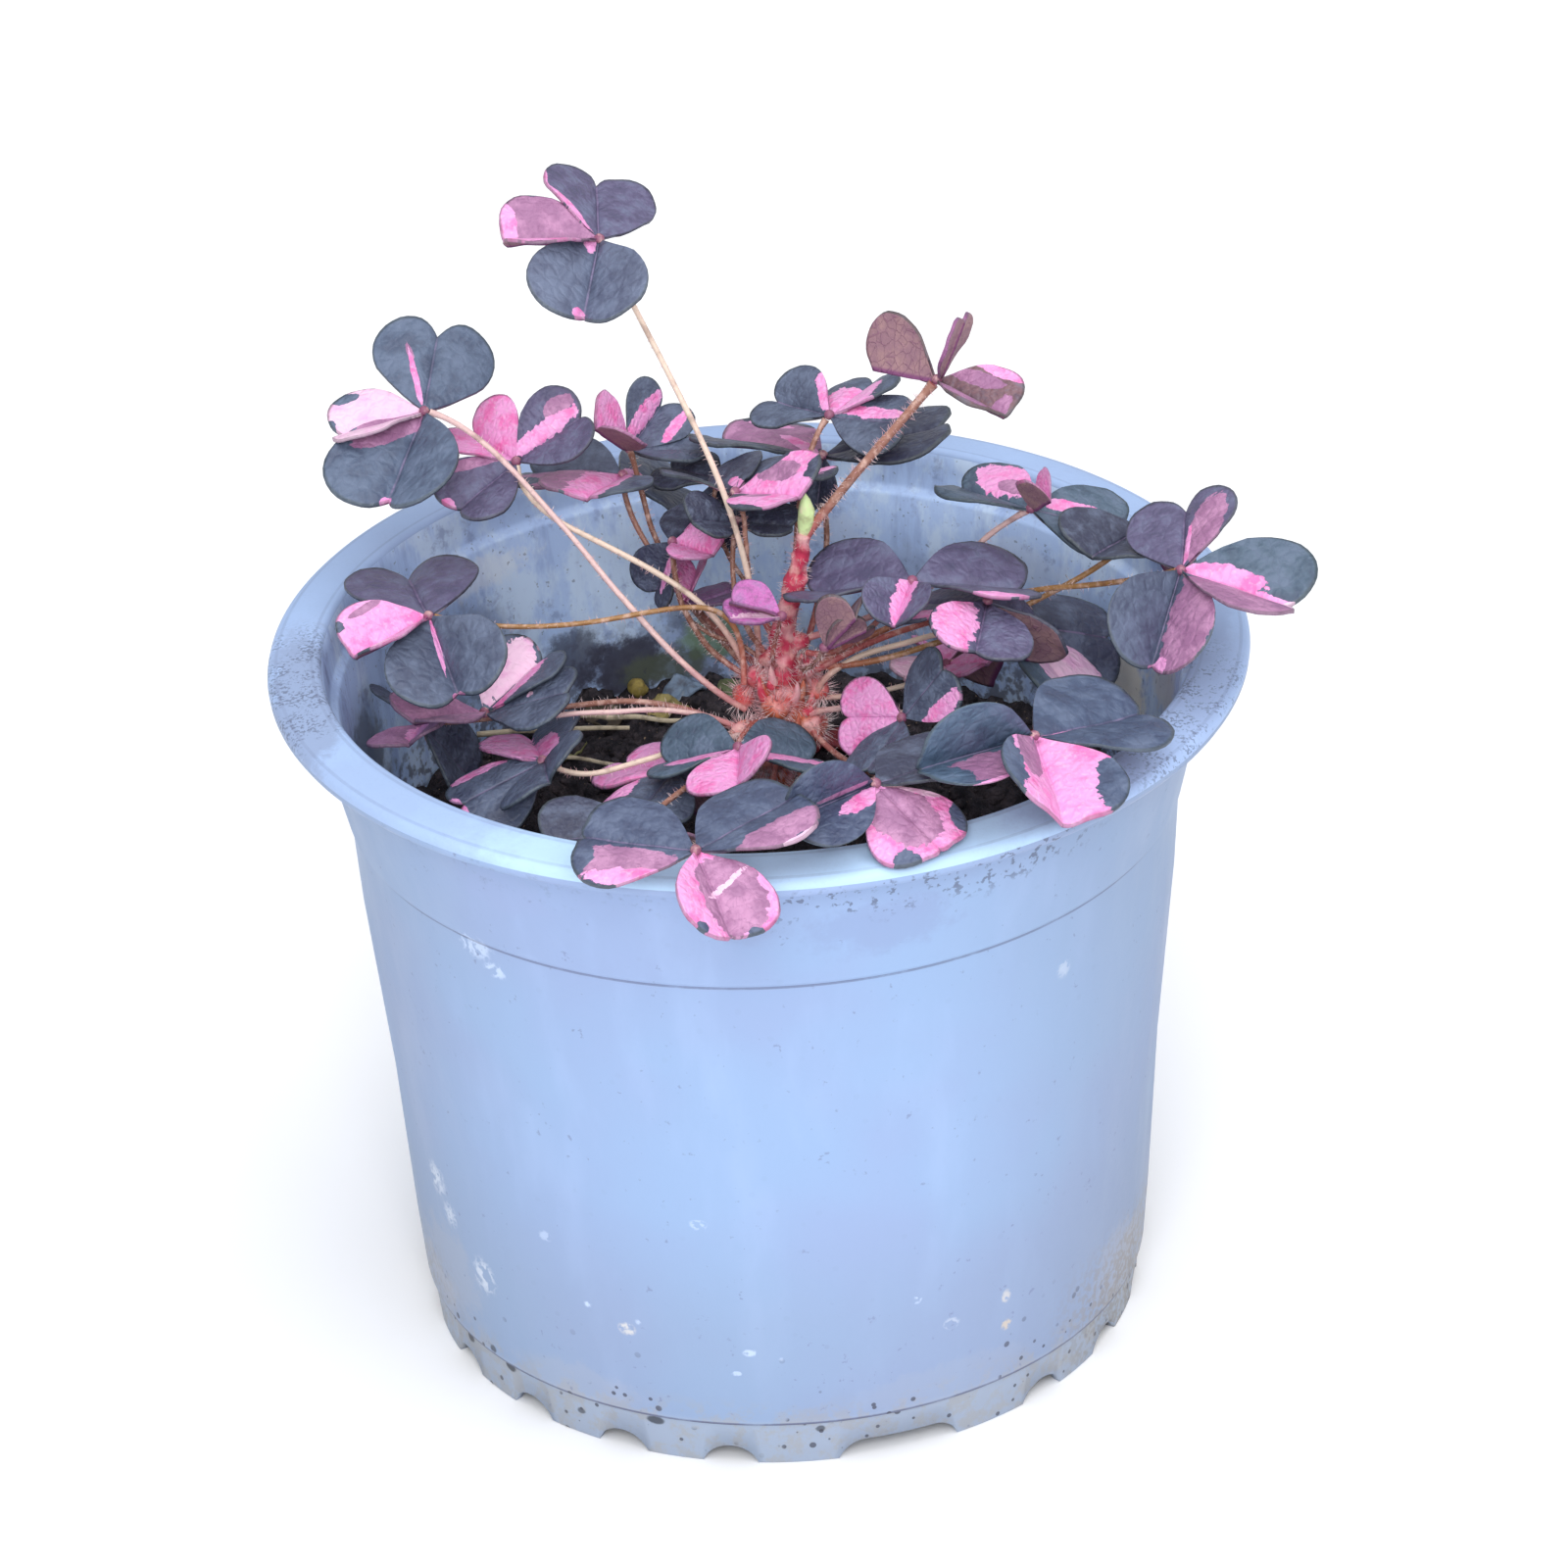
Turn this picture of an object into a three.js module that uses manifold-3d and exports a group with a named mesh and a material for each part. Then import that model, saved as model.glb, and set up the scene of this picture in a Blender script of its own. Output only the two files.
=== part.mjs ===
// A purple shamrock growing in its plastic nursery pot.
// Millimetres, +Z up. The pot stands on z = 0; -Y is the front.

import * as THREE from 'three';
import { mergeVertices } from 'three/addons/utils/BufferGeometryUtils.js';
import Module from 'manifold-3d';

const wasm = await Module();
wasm.setup();

// ---- driving dimensions ------------------------------------------------------

// The frame's origin is under the middle of the whole plant, so the pot's axis stands
// a little to the side of it. Every other position here is measured from the pot's axis.
const POT_AXIS = [-3.6, 8.3];

const GAP = 0.35;                 // clear space between pieces that rest together
const BLADE = 0.7;                // thickness of a leaflet
const HUB_RADIUS = 0.8;           // little knob the three leaflets grow from

const POT = {
  segments: 56,
  lipRadius: 60,
  height: 91.5,
  floorUnder: 5,
  floorTop: 6.3,
  footNotches: 20,
  firstNotchDeg: -10,
  notchRadius: 3.6,
  notchCentreZ: -1.0,
  brokenPad: [11.5, 17, 22.5],
  holeCount: 8,
  holeRadius: 3.5,
  holeCircle: 30,
};

const SOIL = { segments: 36, top: 60, roughness: 1.0, holeDepth: 12 };

const STEM = { x: 1, y: 4, sides: 8, holeRadius: 2.3 + GAP };

// Outside of the pot from the foot to the nose of the lip, as [radius, height].
const POT_OUTSIDE = [
  [44.8, 0], [45.2, 6.0], [45.8, 6.4], [48.0, 36], [50.4, 60], [51.2, 72],
  [51.6, 72.4], [54.6, 85], [56.2, 87.6], [59.4, 88.6], [60, 89.8], [59.4, 90.9],
];

// Inside of the pot from the lip down to the floor.
const POT_INSIDE = [
  [54, 91.5], [53.3, 90.9], [52.6, 86], [51.6, 85.2], [50.0, 72],
  [49.1, 60], [46.4, 24], [43.4, 6.3],
];

// Half of a heart-shaped leaflet: [along the midrib, away from it], leaflet length 1.
const HALF_LEAFLET = [
  [0.11, 0.09], [0.24, 0.31], [0.48, 0.51], [0.76, 0.54], [0.95, 0.39], [0.985, 0.14],
];
const NOTCH = 0.88;
const MID = 0.44;

// One row per leaf. hub: where the three leaflets meet. size: leaflet length.
// leaflets: [heading, rise, roll, fold] in degrees, heading anticlockwise from +X.
// stalk: it leaves its root on the crown towards lift, and comes to the hub from the
// direction arrive over the length reach; r is its radius at the leaf.
const LEAVES = [
  { name: 'leaf_top', hub: [-17, 16, 138], size: 14.8,
    leaflets: [[91, 9, 23, 7, 0.9], [-172, 5, -3, 26, 0.81], [-100, -21, -6, 26]],
    stalk: { root: [0, 5, 84], lift: [0.5, 1.5, 107], arrive: [0.4, -0.2, -0.9], reach: 21, r: 0.5 } },
  { name: 'leaf_west_high', hub: [-40, 24, 112], size: 16.4,
    leaflets: [[80, 27, 15, -12, 0.87], [-172, -12, 0, 20, 0.72], [-110, -24, 4, 19, 1.02]],
    stalk: { root: [-2, 4, 79], lift: [-15, -2, 90.5], arrive: [0.9, 0, -0.3], reach: 12, r: 0.5 } },
  { name: 'leaf_west_back', hub: [-29, 23, 105], size: 10.8,
    leaflets: [[125, 4, -20, 29], [13, 30, 26, 14], [-141, -20, -10, 12]],
    stalk: { root: [-1, 5, 82], lift: [-6, 7.5, 101], arrive: [0.1, -0.8, -0.75], reach: 11.5, r: 0.5 } },
  { name: 'leaf_back_left', hub: [-16, 28, 100], size: 13.4,
    leaflets: [[160, -5, -1, 10], [-112, 12, 4, 10], [46, -30, 22, -3]],
    stalk: { root: [0, 6, 81], lift: [-2.5, 15, 81], arrive: [0, -0.4, -0.9], reach: 9, r: 0.5 } },
  { name: 'leaf_back_left_far', hub: [-15, 31, 102], size: 9.8,
    leaflets: [[-125, 42, -34, 35], [60, 16, 40, 28], [-6, 0, -8, 2]],
    stalk: { root: [1, 6, 83], lift: [-13, 25.5, 84.5], arrive: [0.2, -0.9, -0.4], reach: 10.5, r: 0.5 } },
  { name: 'leaf_back_dark', hub: [-4, 26, 100], size: 9,
    leaflets: [[139, -5, -6, -2], [-101, -70, 0, 40], [19, -60, 0, 40]],
    stalk: { root: [2.2, 6, 82.5], lift: [3.5, 17.5, 87], arrive: [-0.3, -0.9, -0.4], reach: 11.5, r: 0.4 } },
  { name: 'leaf_back', hub: [10, 22, 110], size: 10.4,
    leaflets: [[135, -6, -23, 15], [53, 4, -21, 2], [-22, 2, 14, -9]],
    stalk: { root: [4, 6, 86], lift: [5, 15, 85], arrive: [-0.6, -0.3, -0.7], reach: 8.5, r: 0.5 } },
  { name: 'leaf_back_low', hub: [9, 24, 103.5], size: 16.6,
    leaflets: [[146, -5, 15, 7], [0, 13, -8, -2], [-108, -60, 0, 40, 0.45]],
    stalk: { root: [5, 6, 84], lift: [11.5, 24.5, 92], arrive: [-0.3, 0.2, -1], reach: 2.5, r: 0.5 } },
  { name: 'leaf_middle_back', hub: [-2, 9, 106.5], size: 12.6,
    leaflets: [[109, -18, 0, 22], [-45, 16, 12, 17], [28, -2, -13, 8]],
    stalk: { root: [2, 5, 88], lift: [-3, 9, 96], arrive: [0.3, -0.8, -0.5], reach: 7.5, r: 0.45 } },
  { name: 'leaf_middle', hub: [-2, 10, 102], size: 7.5,
    leaflets: [[-146, 20, -24, 14], [58, -8, 32, 34], [-15, 0, 2, 9]],
    stalk: { root: [1, 4, 86], lift: [-0.5, 2, 90.5], arrive: [-0.2, -0.6, -0.8], reach: 10.5, r: 0.45 } },
  { name: 'leaf_east_high', hub: [23, 6, 122], size: 12.2,
    leaflets: [[133, -10, 69, 39, 1.05], [19, 66, -39, -6, 0.71], [-40, -11, -4, 26, 0.88]],
    stalk: { root: [6.2, 4, 102.4], lift: [10, 4.4, 107.6], arrive: [-0.66, -0.07, -0.75], reach: 8, r: 0.75 } },
  { name: 'leaf_east_back', hub: [34, 6, 104], size: 12.1,
    leaflets: [[139, -2, 5, 13], [-68, 36, 13, 61, 0.6], [-3, -15, 12, 2]],
    stalk: { root: [6, 5, 88], lift: [27.5, 3.5, 95], arrive: [-0.6, 0.5, -0.6], reach: 17.5, r: 0.5 } },
  { name: 'leaf_east_back_dark', hub: [47.5, 5.5, 101], size: 12.6,
    leaflets: [[-126, 6, -10, 19], [-14, -60, 0, 30, 0.7], [113, -40, 0, 30]],
    stalk: { root: [6, 5, 84], lift: [18.5, 1, 84.5], arrive: [-0.5, 0.2, -0.9], reach: 7.5, r: 0.5 } },
  { name: 'leaf_east', hub: [51, -12, 104], size: 15.3,
    leaflets: [[83, 14, -21, 6, 0.86], [-27, -8, 4, 20, 1.04], [-111, -30, -12, 43, 1.03]],
    stalk: { root: [6, 4, 84], lift: [27, 10.5, 94], arrive: [-0.5, 0.7, -0.5], reach: 24.5, r: 0.5 } },
  { name: 'leaf_north_small', hub: [-10, 14, 97.5], size: 8.3,
    leaflets: [[59, 9, -18, 9], [-48, 6, 19, 30], [173, -70, -41, 16]],
    stalk: { root: [0, 5, 82], lift: [-8.5, 9.5, 85], arrive: [0, -0.9, -0.5], reach: 8.5, r: 0.5 } },
  { name: 'leaf_middle_east', hub: [19, -3, 99.5], size: 15.3,
    leaflets: [[157, -16, -2, 18], [11, -14, -2, 15], [-108, -12, 0, 36, 0.62]],
    stalk: { root: [6, 3, 87], lift: [10, -2, 88.5], arrive: [-0.5, 0.2, -0.8], reach: 9, r: 0.5 } },
  { name: 'leaf_east_inner', hub: [28, -4.5, 97], size: 11.9,
    leaflets: [[-100, -7, -17, 7], [144, -18, 4, -1], [22, -60, 0, 40]],
    stalk: { root: [7, 4, 84], lift: [24, 6.5, 92.5], arrive: [-0.7, -0.2, -0.8], reach: 5, r: 0.5 } },
  { name: 'leaf_east_low', hub: [32, 8.5, 87], size: 15,
    leaflets: [[22, -22, 32, -22], [-53, -29, -28, 4], [120, -60, 0, 55]],
    stalk: { root: [7, 4, 81], lift: [9, 3, 88], arrive: [-1, 0, -0.1], reach: 4.5, r: 0.5 } },
  { name: 'leaf_west', hub: [-40, 1, 95.5], size: 14.6,
    leaflets: [[103, -5, -1, 7, 1.05], [-143, -9, 1, 30, 0.78], [-73, -22, 14, 26, 1.05]],
    stalk: { root: [-2, 3, 83], lift: [-1, 8, 101.5], arrive: [1, 0, -0.3], reach: 25.5, r: 0.45 } },
  { name: 'leaf_west_low', hub: [-34, 1.5, 81.5], size: 12.1,
    leaflets: [[46, 17, -4, 20], [-11, 19, 4, -2], [-142, 15, 4, 15]],
    stalk: { root: [-3, 3, 77], lift: [-13, 1, 84], arrive: [1, 0.1, -0.3], reach: 10, r: 0.45 } },
  { name: 'leaf_west_wall', hub: [-42, 7, 77.5], size: 12,
    leaflets: [[25, -58, 34, 6], [115, 0, -10, 45, 0.75], [-100, 12, 20, 12, 0.85]],
    stalk: { root: [-3, 4, 76], lift: [-16.5, 5.5, 84.5], arrive: [0.9, 0.3, -0.2], reach: 18, r: 0.5 } },
  { name: 'leaf_south_west', hub: [-27, -5, 78], size: 12.4,
    leaflets: [[99, -14, -13, 15], [-86, 16, 39, 7], [-159, -17, -11, -20]],
    stalk: { root: [-3, 2, 75], lift: [-8.5, -3.5, 82], arrive: [0.8, -0.4, -0.4], reach: 9, r: 0.5 } },
  { name: 'leaf_south_wall', hub: [-15, -28, 80], size: 12.1,
    leaflets: [[-174, 2, -6, 13], [-54, -50, 0, 30], [65, -60, 0, 40]],
    stalk: { root: [-1, 1, 75], lift: [-0.5, -4, 78], arrive: [0.2, 1, -0.1], reach: 12.5, r: 0.5 } },
  { name: 'leaf_south_inner', hub: [-11, -7, 77], size: 11.7,
    leaflets: [[127, -17, -5, -1], [-119, -6, 7, -9], [4, -65, 0, 40]],
    stalk: { root: [-2, 2, 76], lift: [-2, 0.5, 78.5], arrive: [0.5, 0.9, -0.1], reach: 5.5, r: 0.5 } },
  { name: 'leaf_south', hub: [-3, -11, 82], size: 11.4,
    leaflets: [[158, -21, -11, 17], [20, -22, 7, 12], [-92, 0, 28, 18]],
    stalk: { root: [0.8, 1.8, 78], lift: [-1, -1, 81], arrive: [0, 1, -0.3], reach: 2.5, r: 0.5 } },
  { name: 'leaf_south_rim', hub: [-8, -64.2, 98.1], size: 16.5,
    leaflets: [[161, 0, -12, -2, 0.84], [36, 8, -4, -2, 0.88], [-68, -31, -16, 17, 0.76]],
    stalk: { root: [2.4, 2.8, 78], lift: [0, -18, 64], arrive: [0.02, 0.95, -0.3], reach: 14, r: 0.5 } },
  { name: 'leaf_south_east', hub: [13, -48.5, 97], size: 14.4,
    leaflets: [[-148, -4, -57, 47, 0.9], [35, -1, -7, 2], [-48, -23, 8, -12, 0.82]],
    stalk: { root: [3.4, 2.6, 79], lift: [5, -14, 63], arrive: [-0.1, 0.93, -0.35], reach: 13, r: 0.5 } },
  { name: 'leaf_east_front', hub: [31.8, -41.9, 98.7], size: 16.6,
    leaflets: [[-152, 1, -51, 57, 0.95], [37, -11, 5, 7, 1.01], [-80, -13, -20, 24, 0.95]],
    stalk: { root: [5.2, 2.6, 78], lift: [14, -8, 68], arrive: [-0.35, 0.75, -0.55], reach: 14, r: 0.5 } },
  { name: 'leaf_inner_pink', hub: [17, -11, 85], size: 9.3,
    leaflets: [[147, -14, -60, -7], [-6, 53, 37, -13], [-127, -25, 22, -4]],
    stalk: { root: [6, 2, 79], lift: [9.5, 1.5, 80.5], arrive: [0.1, 1, -0.1], reach: 3, r: 0.5 } },
  { name: 'leaf_inner_small', hub: [23, 6, 83], size: 7,
    leaflets: [[-148, 5, -3, 0], [101, -8, 6, 30], [-36, 18, 3, 3]],
    stalk: { root: [7, 5, 80], lift: [9.5, 2.5, 79], arrive: [0.9, 0.4, -0.1], reach: 13.5, r: 0.45 } },
  { name: 'leaf_bronze', hub: [8, -8, 93.5], size: 8,
    leaflets: [[-5, 28, -50, 12, 0.8], [-35, 50, -30, 50]],
    stalk: { root: [5, 3, 86], lift: [5, -4, 87], arrive: [-0.2, 0.6, -0.8], reach: 4, r: 0.45 } },
  { name: 'leaf_magenta', hub: [3, -6, 97], size: 9.4,
    leaflets: [[-165, 8, 2, 14, 0.75], [172, 14, -6, 40, 0.7]],
    stalk: { root: [2, 2, 86], lift: [1, -2, 88], arrive: [-0.1, 0.7, -0.7], reach: 5.5, r: 0.4 } },
  { name: 'leaf_violet', hub: [-9, 12, 89.5], size: 7.5,
    leaflets: [[26, 2, -11, 1], [75, 15, -10, 50]],
    stalk: { root: [0, 5, 84], lift: [1, 5.5, 88], arrive: [0.2, -0.7, -0.7], reach: 4, r: 0.4 } },
];

// ---- small helpers -----------------------------------------------------------

const rad = THREE.MathUtils.degToRad;

function toSolid(geometry) {
  const plain = geometry.clone();
  plain.deleteAttribute('normal');
  plain.deleteAttribute('uv');
  const merged = mergeVertices(plain, 1e-4);
  return new wasm.Manifold(new wasm.Mesh({
    numProp: 3,
    vertProperties: new Float32Array(merged.attributes.position.array),
    triVerts: new Uint32Array(merged.index.array),
  }));
}

// Slivers shorter than this are dropped where joined bodies cross.
const SLIVER = 0.02;

function toGeometry(solid) {
  const mesh = solid.simplify(SLIVER).getMesh();
  const indexed = new THREE.BufferGeometry();
  indexed.setAttribute('position', new THREE.BufferAttribute(mesh.vertProperties, 3));
  indexed.setIndex(new THREE.BufferAttribute(mesh.triVerts, 1));
  const flat = indexed.toNonIndexed().translate(POT_AXIS[0], POT_AXIS[1], 0);
  flat.computeVertexNormals();
  return flat;
}

function named(name, geometry, material) {
  const mesh = new THREE.Mesh(geometry, material);
  mesh.name = name;
  return mesh;
}

function finish(color, roughness) {
  return new THREE.MeshStandardMaterial({ color, roughness, metalness: 0 });
}

// Turned body about Z from a closed run of [radius, height] points.
function turned(profile, segments) {
  const points = profile.map(([r, z]) => new THREE.Vector2(r, z));
  return new THREE.LatheGeometry(points, segments).rotateX(Math.PI / 2);
}

// Tapering round tube through a list of { at: [x, y, z], r }, closed at both ends.
function taperedTube(stations, sides) {
  const path = stations.map((station) => new THREE.Vector3(...station.at));
  const curve = new THREE.CatmullRomCurve3(path, false, 'centripetal');
  const rings = stations.length;
  const frames = curve.computeFrenetFrames(rings - 1, false);
  const positions = [];
  const index = [];
  stations.forEach((station, i) => {
    for (let k = 0; k < sides; k += 1) {
      const angle = (k / sides) * Math.PI * 2;
      const p = new THREE.Vector3(...station.at)
        .addScaledVector(frames.normals[i], Math.cos(angle) * station.r)
        .addScaledVector(frames.binormals[i], Math.sin(angle) * station.r);
      positions.push(p.x, p.y, p.z);
    }
  });
  for (let i = 0; i < rings - 1; i += 1) {
    for (let k = 0; k < sides; k += 1) {
      const a = i * sides + k;
      const b = i * sides + ((k + 1) % sides);
      index.push(a, b, a + sides, b, b + sides, a + sides);
    }
  }
  for (let k = 1; k < sides - 1; k += 1) {
    index.push(0, k + 1, k);
    const last = (rings - 1) * sides;
    index.push(last, last + k, last + k + 1);
  }
  const tube = new THREE.BufferGeometry();
  tube.setAttribute('position', new THREE.Float32BufferAttribute(positions, 3));
  tube.setIndex(index);
  return toSolid(tube);
}

function ball(x, y, z, radius, detail = 1) {
  return toSolid(new THREE.IcosahedronGeometry(radius, detail).translate(x, y, z));
}

// ---- pot ---------------------------------------------------------------------

// The notches stand at even steps round the foot, but one pad is broken away, which leaves
// one wide notch in place of two.
function footNotchAngles() {
  const step = 360 / POT.footNotches;
  const even = Array.from({ length: POT.footNotches }, (_, i) => POT.firstNotchDeg + i * step);
  return [...even.filter((_, i) => i !== 1 && i !== 2), ...POT.brokenPad];
}

function buildPot() {
  const profile = [
    [0, POT.floorUnder], [43.4, POT.floorUnder], [43.4, 0],
    ...POT_OUTSIDE, ...POT_INSIDE, [0, POT.floorTop],
  ];
  let pot = toSolid(turned(profile, POT.segments));
  for (const degrees of footNotchAngles()) {
    const notch = new THREE.CylinderGeometry(POT.notchRadius, POT.notchRadius, 4, 12)
      .scale(1, 1, 0.9)
      .translate(0, -44.3, 0)
      .translate(0, 0, POT.notchCentreZ)
      .rotateZ(rad(degrees));
    pot = pot.subtract(toSolid(notch));
  }
  for (let i = 0; i < POT.holeCount; i += 1) {
    const turn = (i / POT.holeCount) * Math.PI * 2;
    const hole = new THREE.CylinderGeometry(POT.holeRadius, POT.holeRadius, 6, 12)
      .rotateX(Math.PI / 2)
      .translate(Math.cos(turn) * POT.holeCircle, Math.sin(turn) * POT.holeCircle, POT.floorTop);
    pot = pot.subtract(toSolid(hole));
  }
  return pot;
}

// ---- soil --------------------------------------------------------------------

function insideRadius(z) {
  for (let i = 1; i < POT_INSIDE.length; i += 1) {
    const [r0, z0] = POT_INSIDE[i - 1];
    const [r1, z1] = POT_INSIDE[i];
    if (z <= z0 && z >= z1) return r1 + ((r0 - r1) * (z - z1)) / (z0 - z1);
  }
  return POT_INSIDE[POT_INSIDE.length - 1][0];
}

function buildSoil() {
  const side = [8.4, 24, 42, SOIL.top - 1.2].map((z) => [insideRadius(z) - GAP, z]);
  const bottom = POT.floorTop + GAP;
  const top = [46.5, 39, 31, 23, 15, 7].map((r) => [r, SOIL.top]);
  const profile = [[0, bottom], [43.0, bottom], ...side, ...top, [0, SOIL.top]];
  const geometry = turned(profile, SOIL.segments);
  const at = geometry.attributes.position;
  for (let i = 0; i < at.count; i += 1) {
    if (at.getZ(i) > SOIL.top - 0.1) {
      const x = at.getX(i);
      const y = at.getY(i);
      const lump = Math.sin(x * 0.41 + 1.3) * Math.cos(y * 0.37) + 0.7 * Math.sin(x * 0.9 + y * 0.8);
      at.setZ(i, SOIL.top + SOIL.roughness * lump);
    }
  }
  const well = new THREE.CylinderGeometry(STEM.holeRadius, STEM.holeRadius, SOIL.holeDepth + 8, 12)
    .rotateX(Math.PI / 2)
    .translate(STEM.x, STEM.y, SOIL.top - SOIL.holeDepth + (SOIL.holeDepth + 8) / 2);
  return toSolid(geometry).subtract(toSolid(well));
}

// ---- leaves ------------------------------------------------------------------

// Directions of one leaflet: along its midrib, and out along each folded half.
function leafletFrame([heading, rise, roll, fold]) {
  const [h, t, r, f] = [heading, rise, roll, fold].map(rad);
  const along = new THREE.Vector3(Math.cos(t) * Math.cos(h), Math.cos(t) * Math.sin(h), Math.sin(t));
  const flat = new THREE.Vector3(-Math.sin(h), Math.cos(h), 0);
  const up = along.clone().cross(flat);
  const side = flat.clone().multiplyScalar(Math.cos(r)).addScaledVector(up, Math.sin(r));
  const normal = along.clone().cross(side);
  const left = side.clone().multiplyScalar(Math.cos(f)).addScaledVector(normal, Math.sin(f));
  const right = side.clone().multiplyScalar(-Math.cos(f)).addScaledVector(normal, Math.sin(f));
  return { along, normal, left, right };
}

// A folded heart-shaped blade: both halves triangulated alike on both faces.
function buildLeaflet(hub, size, pose, thickness) {
  const { along, normal, left, right } = leafletFrame(pose);
  const centre = new THREE.Vector3(...hub);
  const length = size * (pose[4] ?? 1);
  const flat = [];
  const points = [];
  const normals = [];
  const fold = rad(pose[3]);
  const put = (u, v, out) => {
    points.push(centre.clone().addScaledVector(along, u * length).addScaledVector(out, v * length));
    flat.push([u, v, out]);
    const face = out === left ? along.clone().cross(left) : right.clone().cross(along);
    normals.push(v === 0 ? normal.clone().multiplyScalar(1 / Math.cos(fold)) : face.normalize());
    return points.length - 1;
  };
  const midrib = [put(0, 0, left), put(MID, 0, left), put(NOTCH, 0, left)];
  const rims = [left, right].map((out) => HALF_LEAFLET.map(([u, v]) => put(u, v, out)));
  const faces = [];
  rims.forEach((rim) => {
    const loop = [midrib[0], ...rim, midrib[2], midrib[1]];
    const outline = loop.map((i) => new THREE.Vector2(flat[i][0], flat[i][1]));
    THREE.ShapeUtils.triangulateShape(outline, []).forEach((t) => {
      const face = t.map((i) => loop[i]);
      const [a, b, c] = face.map((i) => points[i]);
      const turn = b.clone().sub(a).cross(c.clone().sub(a)).dot(normals[rim[3]]);
      faces.push(turn > 0 ? face : [face[0], face[2], face[1]]);
    });
  });
  const border = [midrib[0], ...rims[1], midrib[2], ...[...rims[0]].reverse()];
  const count = points.length;
  const positions = [];
  for (const face of [1, -1]) {
    points.forEach((p, i) => {
      const q = p.clone().addScaledVector(normals[i], (face * thickness) / 2);
      positions.push(q.x, q.y, q.z);
    });
  }
  const index = [];
  for (const [a, b, c] of faces) index.push(a, b, c, a + count, c + count, b + count);
  border.forEach((a, i) => {
    const b = border[(i + 1) % border.length];
    index.push(a, a + count, b, b, a + count, b + count);
  });
  const blade = new THREE.BufferGeometry();
  blade.setAttribute('position', new THREE.Float32BufferAttribute(positions, 3));
  blade.setIndex(index);
  return toSolid(blade);
}

export function buildLeaf(row, thickness = BLADE) {
  let leaf = ball(...row.hub, HUB_RADIUS, 0);
  for (const pose of row.leaflets) leaf = leaf.add(buildLeaflet(row.hub, row.size, pose, thickness));
  return leaf;
}

// ---- stem, crown and leaf stalks ----------------------------------------------

const STALK = { sides: 5, steps: 6, flare: 1.35 };

const STEM_PATH = [
  { at: [STEM.x, STEM.y, 48.4], r: 2.3 }, { at: [STEM.x, STEM.y, 64], r: 2.3 },
  { at: [1.4, 4, 70], r: 2.7 }, { at: [2.2, 4, 76], r: 3.4 }, { at: [2.8, 4, 80], r: 3.4 },
  { at: [2.7, 4, 85], r: 2.4 }, { at: [3.2, 4, 90], r: 1.7 }, { at: [5, 4, 97], r: 1.4 },
  { at: [6.2, 4, 103], r: 1.1 },
];

// Pointed young shoot at the top of the stem.
const BUD_PATH = [
  { at: [6.1, 4, 102.5], r: 0.6 }, { at: [6.4, 4, 104.2], r: 0.65 }, { at: [6.6, 4, 105.8], r: 0.75 },
  { at: [6.5, 4, 107.4], r: 0.5 }, { at: [6.4, 4, 108.6], r: 0.15 },
];

const CROWN_LUMPS = [
  [-2, 3, 76, 2.6], [6, 3, 77, 3.0], [1, 0.8, 74, 2.6], [4, 7, 79, 2.6],
  [-2, 5.5, 80, 2.2], [7, 5, 81, 2.2], [2, 1.4, 80.5, 2.4],
  [-0.6, 4.6, 83, 2.2], [5.4, 4.6, 84, 2.2], [3.4, 6.2, 85, 2.0], [1.2, 3, 86.5, 1.6],
  [5, 4, 88, 1.8], [-2.4, 2.4, 76.5, 2.2], [2.6, 4.2, 88.5, 1.7],
];

export const rows = LEAVES;
export const potSolid = buildPot();
export const soilSolid = buildSoil();

function buildStalk(row) {
  const { root, lift, arrive, reach, r } = row.stalk;
  const towards = new THREE.Vector3(...arrive).normalize();
  const tip = new THREE.Vector3(...row.hub).addScaledVector(towards, HUB_RADIUS + GAP);
  const curve = new THREE.CubicBezierCurve3(
    new THREE.Vector3(...root),
    new THREE.Vector3(...lift),
    tip.clone().addScaledVector(towards, reach),
    tip,
  );
  const stations = [];
  for (let i = 0; i <= STALK.steps; i += 1) {
    const share = i / STALK.steps;
    stations.push({
      at: curve.getPoint(share).toArray(),
      r: r * (1 + (STALK.flare - 1) * (1 - share) ** 2),
    });
  }
  return taperedTube(stations, STALK.sides);
}

function buildStems() {
  let stems = taperedTube(STEM_PATH, STEM.sides);
  for (const [x, y, z, r] of CROWN_LUMPS) stems = stems.add(ball(x, y, z, r));
  for (const row of LEAVES) stems = stems.add(buildStalk(row));
  return stems.add(taperedTube(BUD_PATH, STEM.sides));
}

export const stemSolid = buildStems();


const leafGreen = 0x52566a;
const model = new THREE.Group();
model.name = 'purple_shamrock';
model.add(named('pot', toGeometry(buildPot()), finish(0xaabfe8, 0.55)));
model.add(named('soil', toGeometry(buildSoil()), finish(0x2b2420, 0.95)));
model.add(named('stems', toGeometry(stemSolid), finish(0xc06070, 0.6)));
for (const row of LEAVES) {
  model.add(named(row.name, toGeometry(buildLeaf(row)), finish(leafGreen, 0.6)));
}

export default model;
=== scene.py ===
"""A purple shamrock in its plastic nursery pot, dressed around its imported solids."""

import logging
import math
import random
from dataclasses import dataclass, field
from enum import Enum

import bmesh
import bpy
from mathutils import Matrix, Vector, noise


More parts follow.
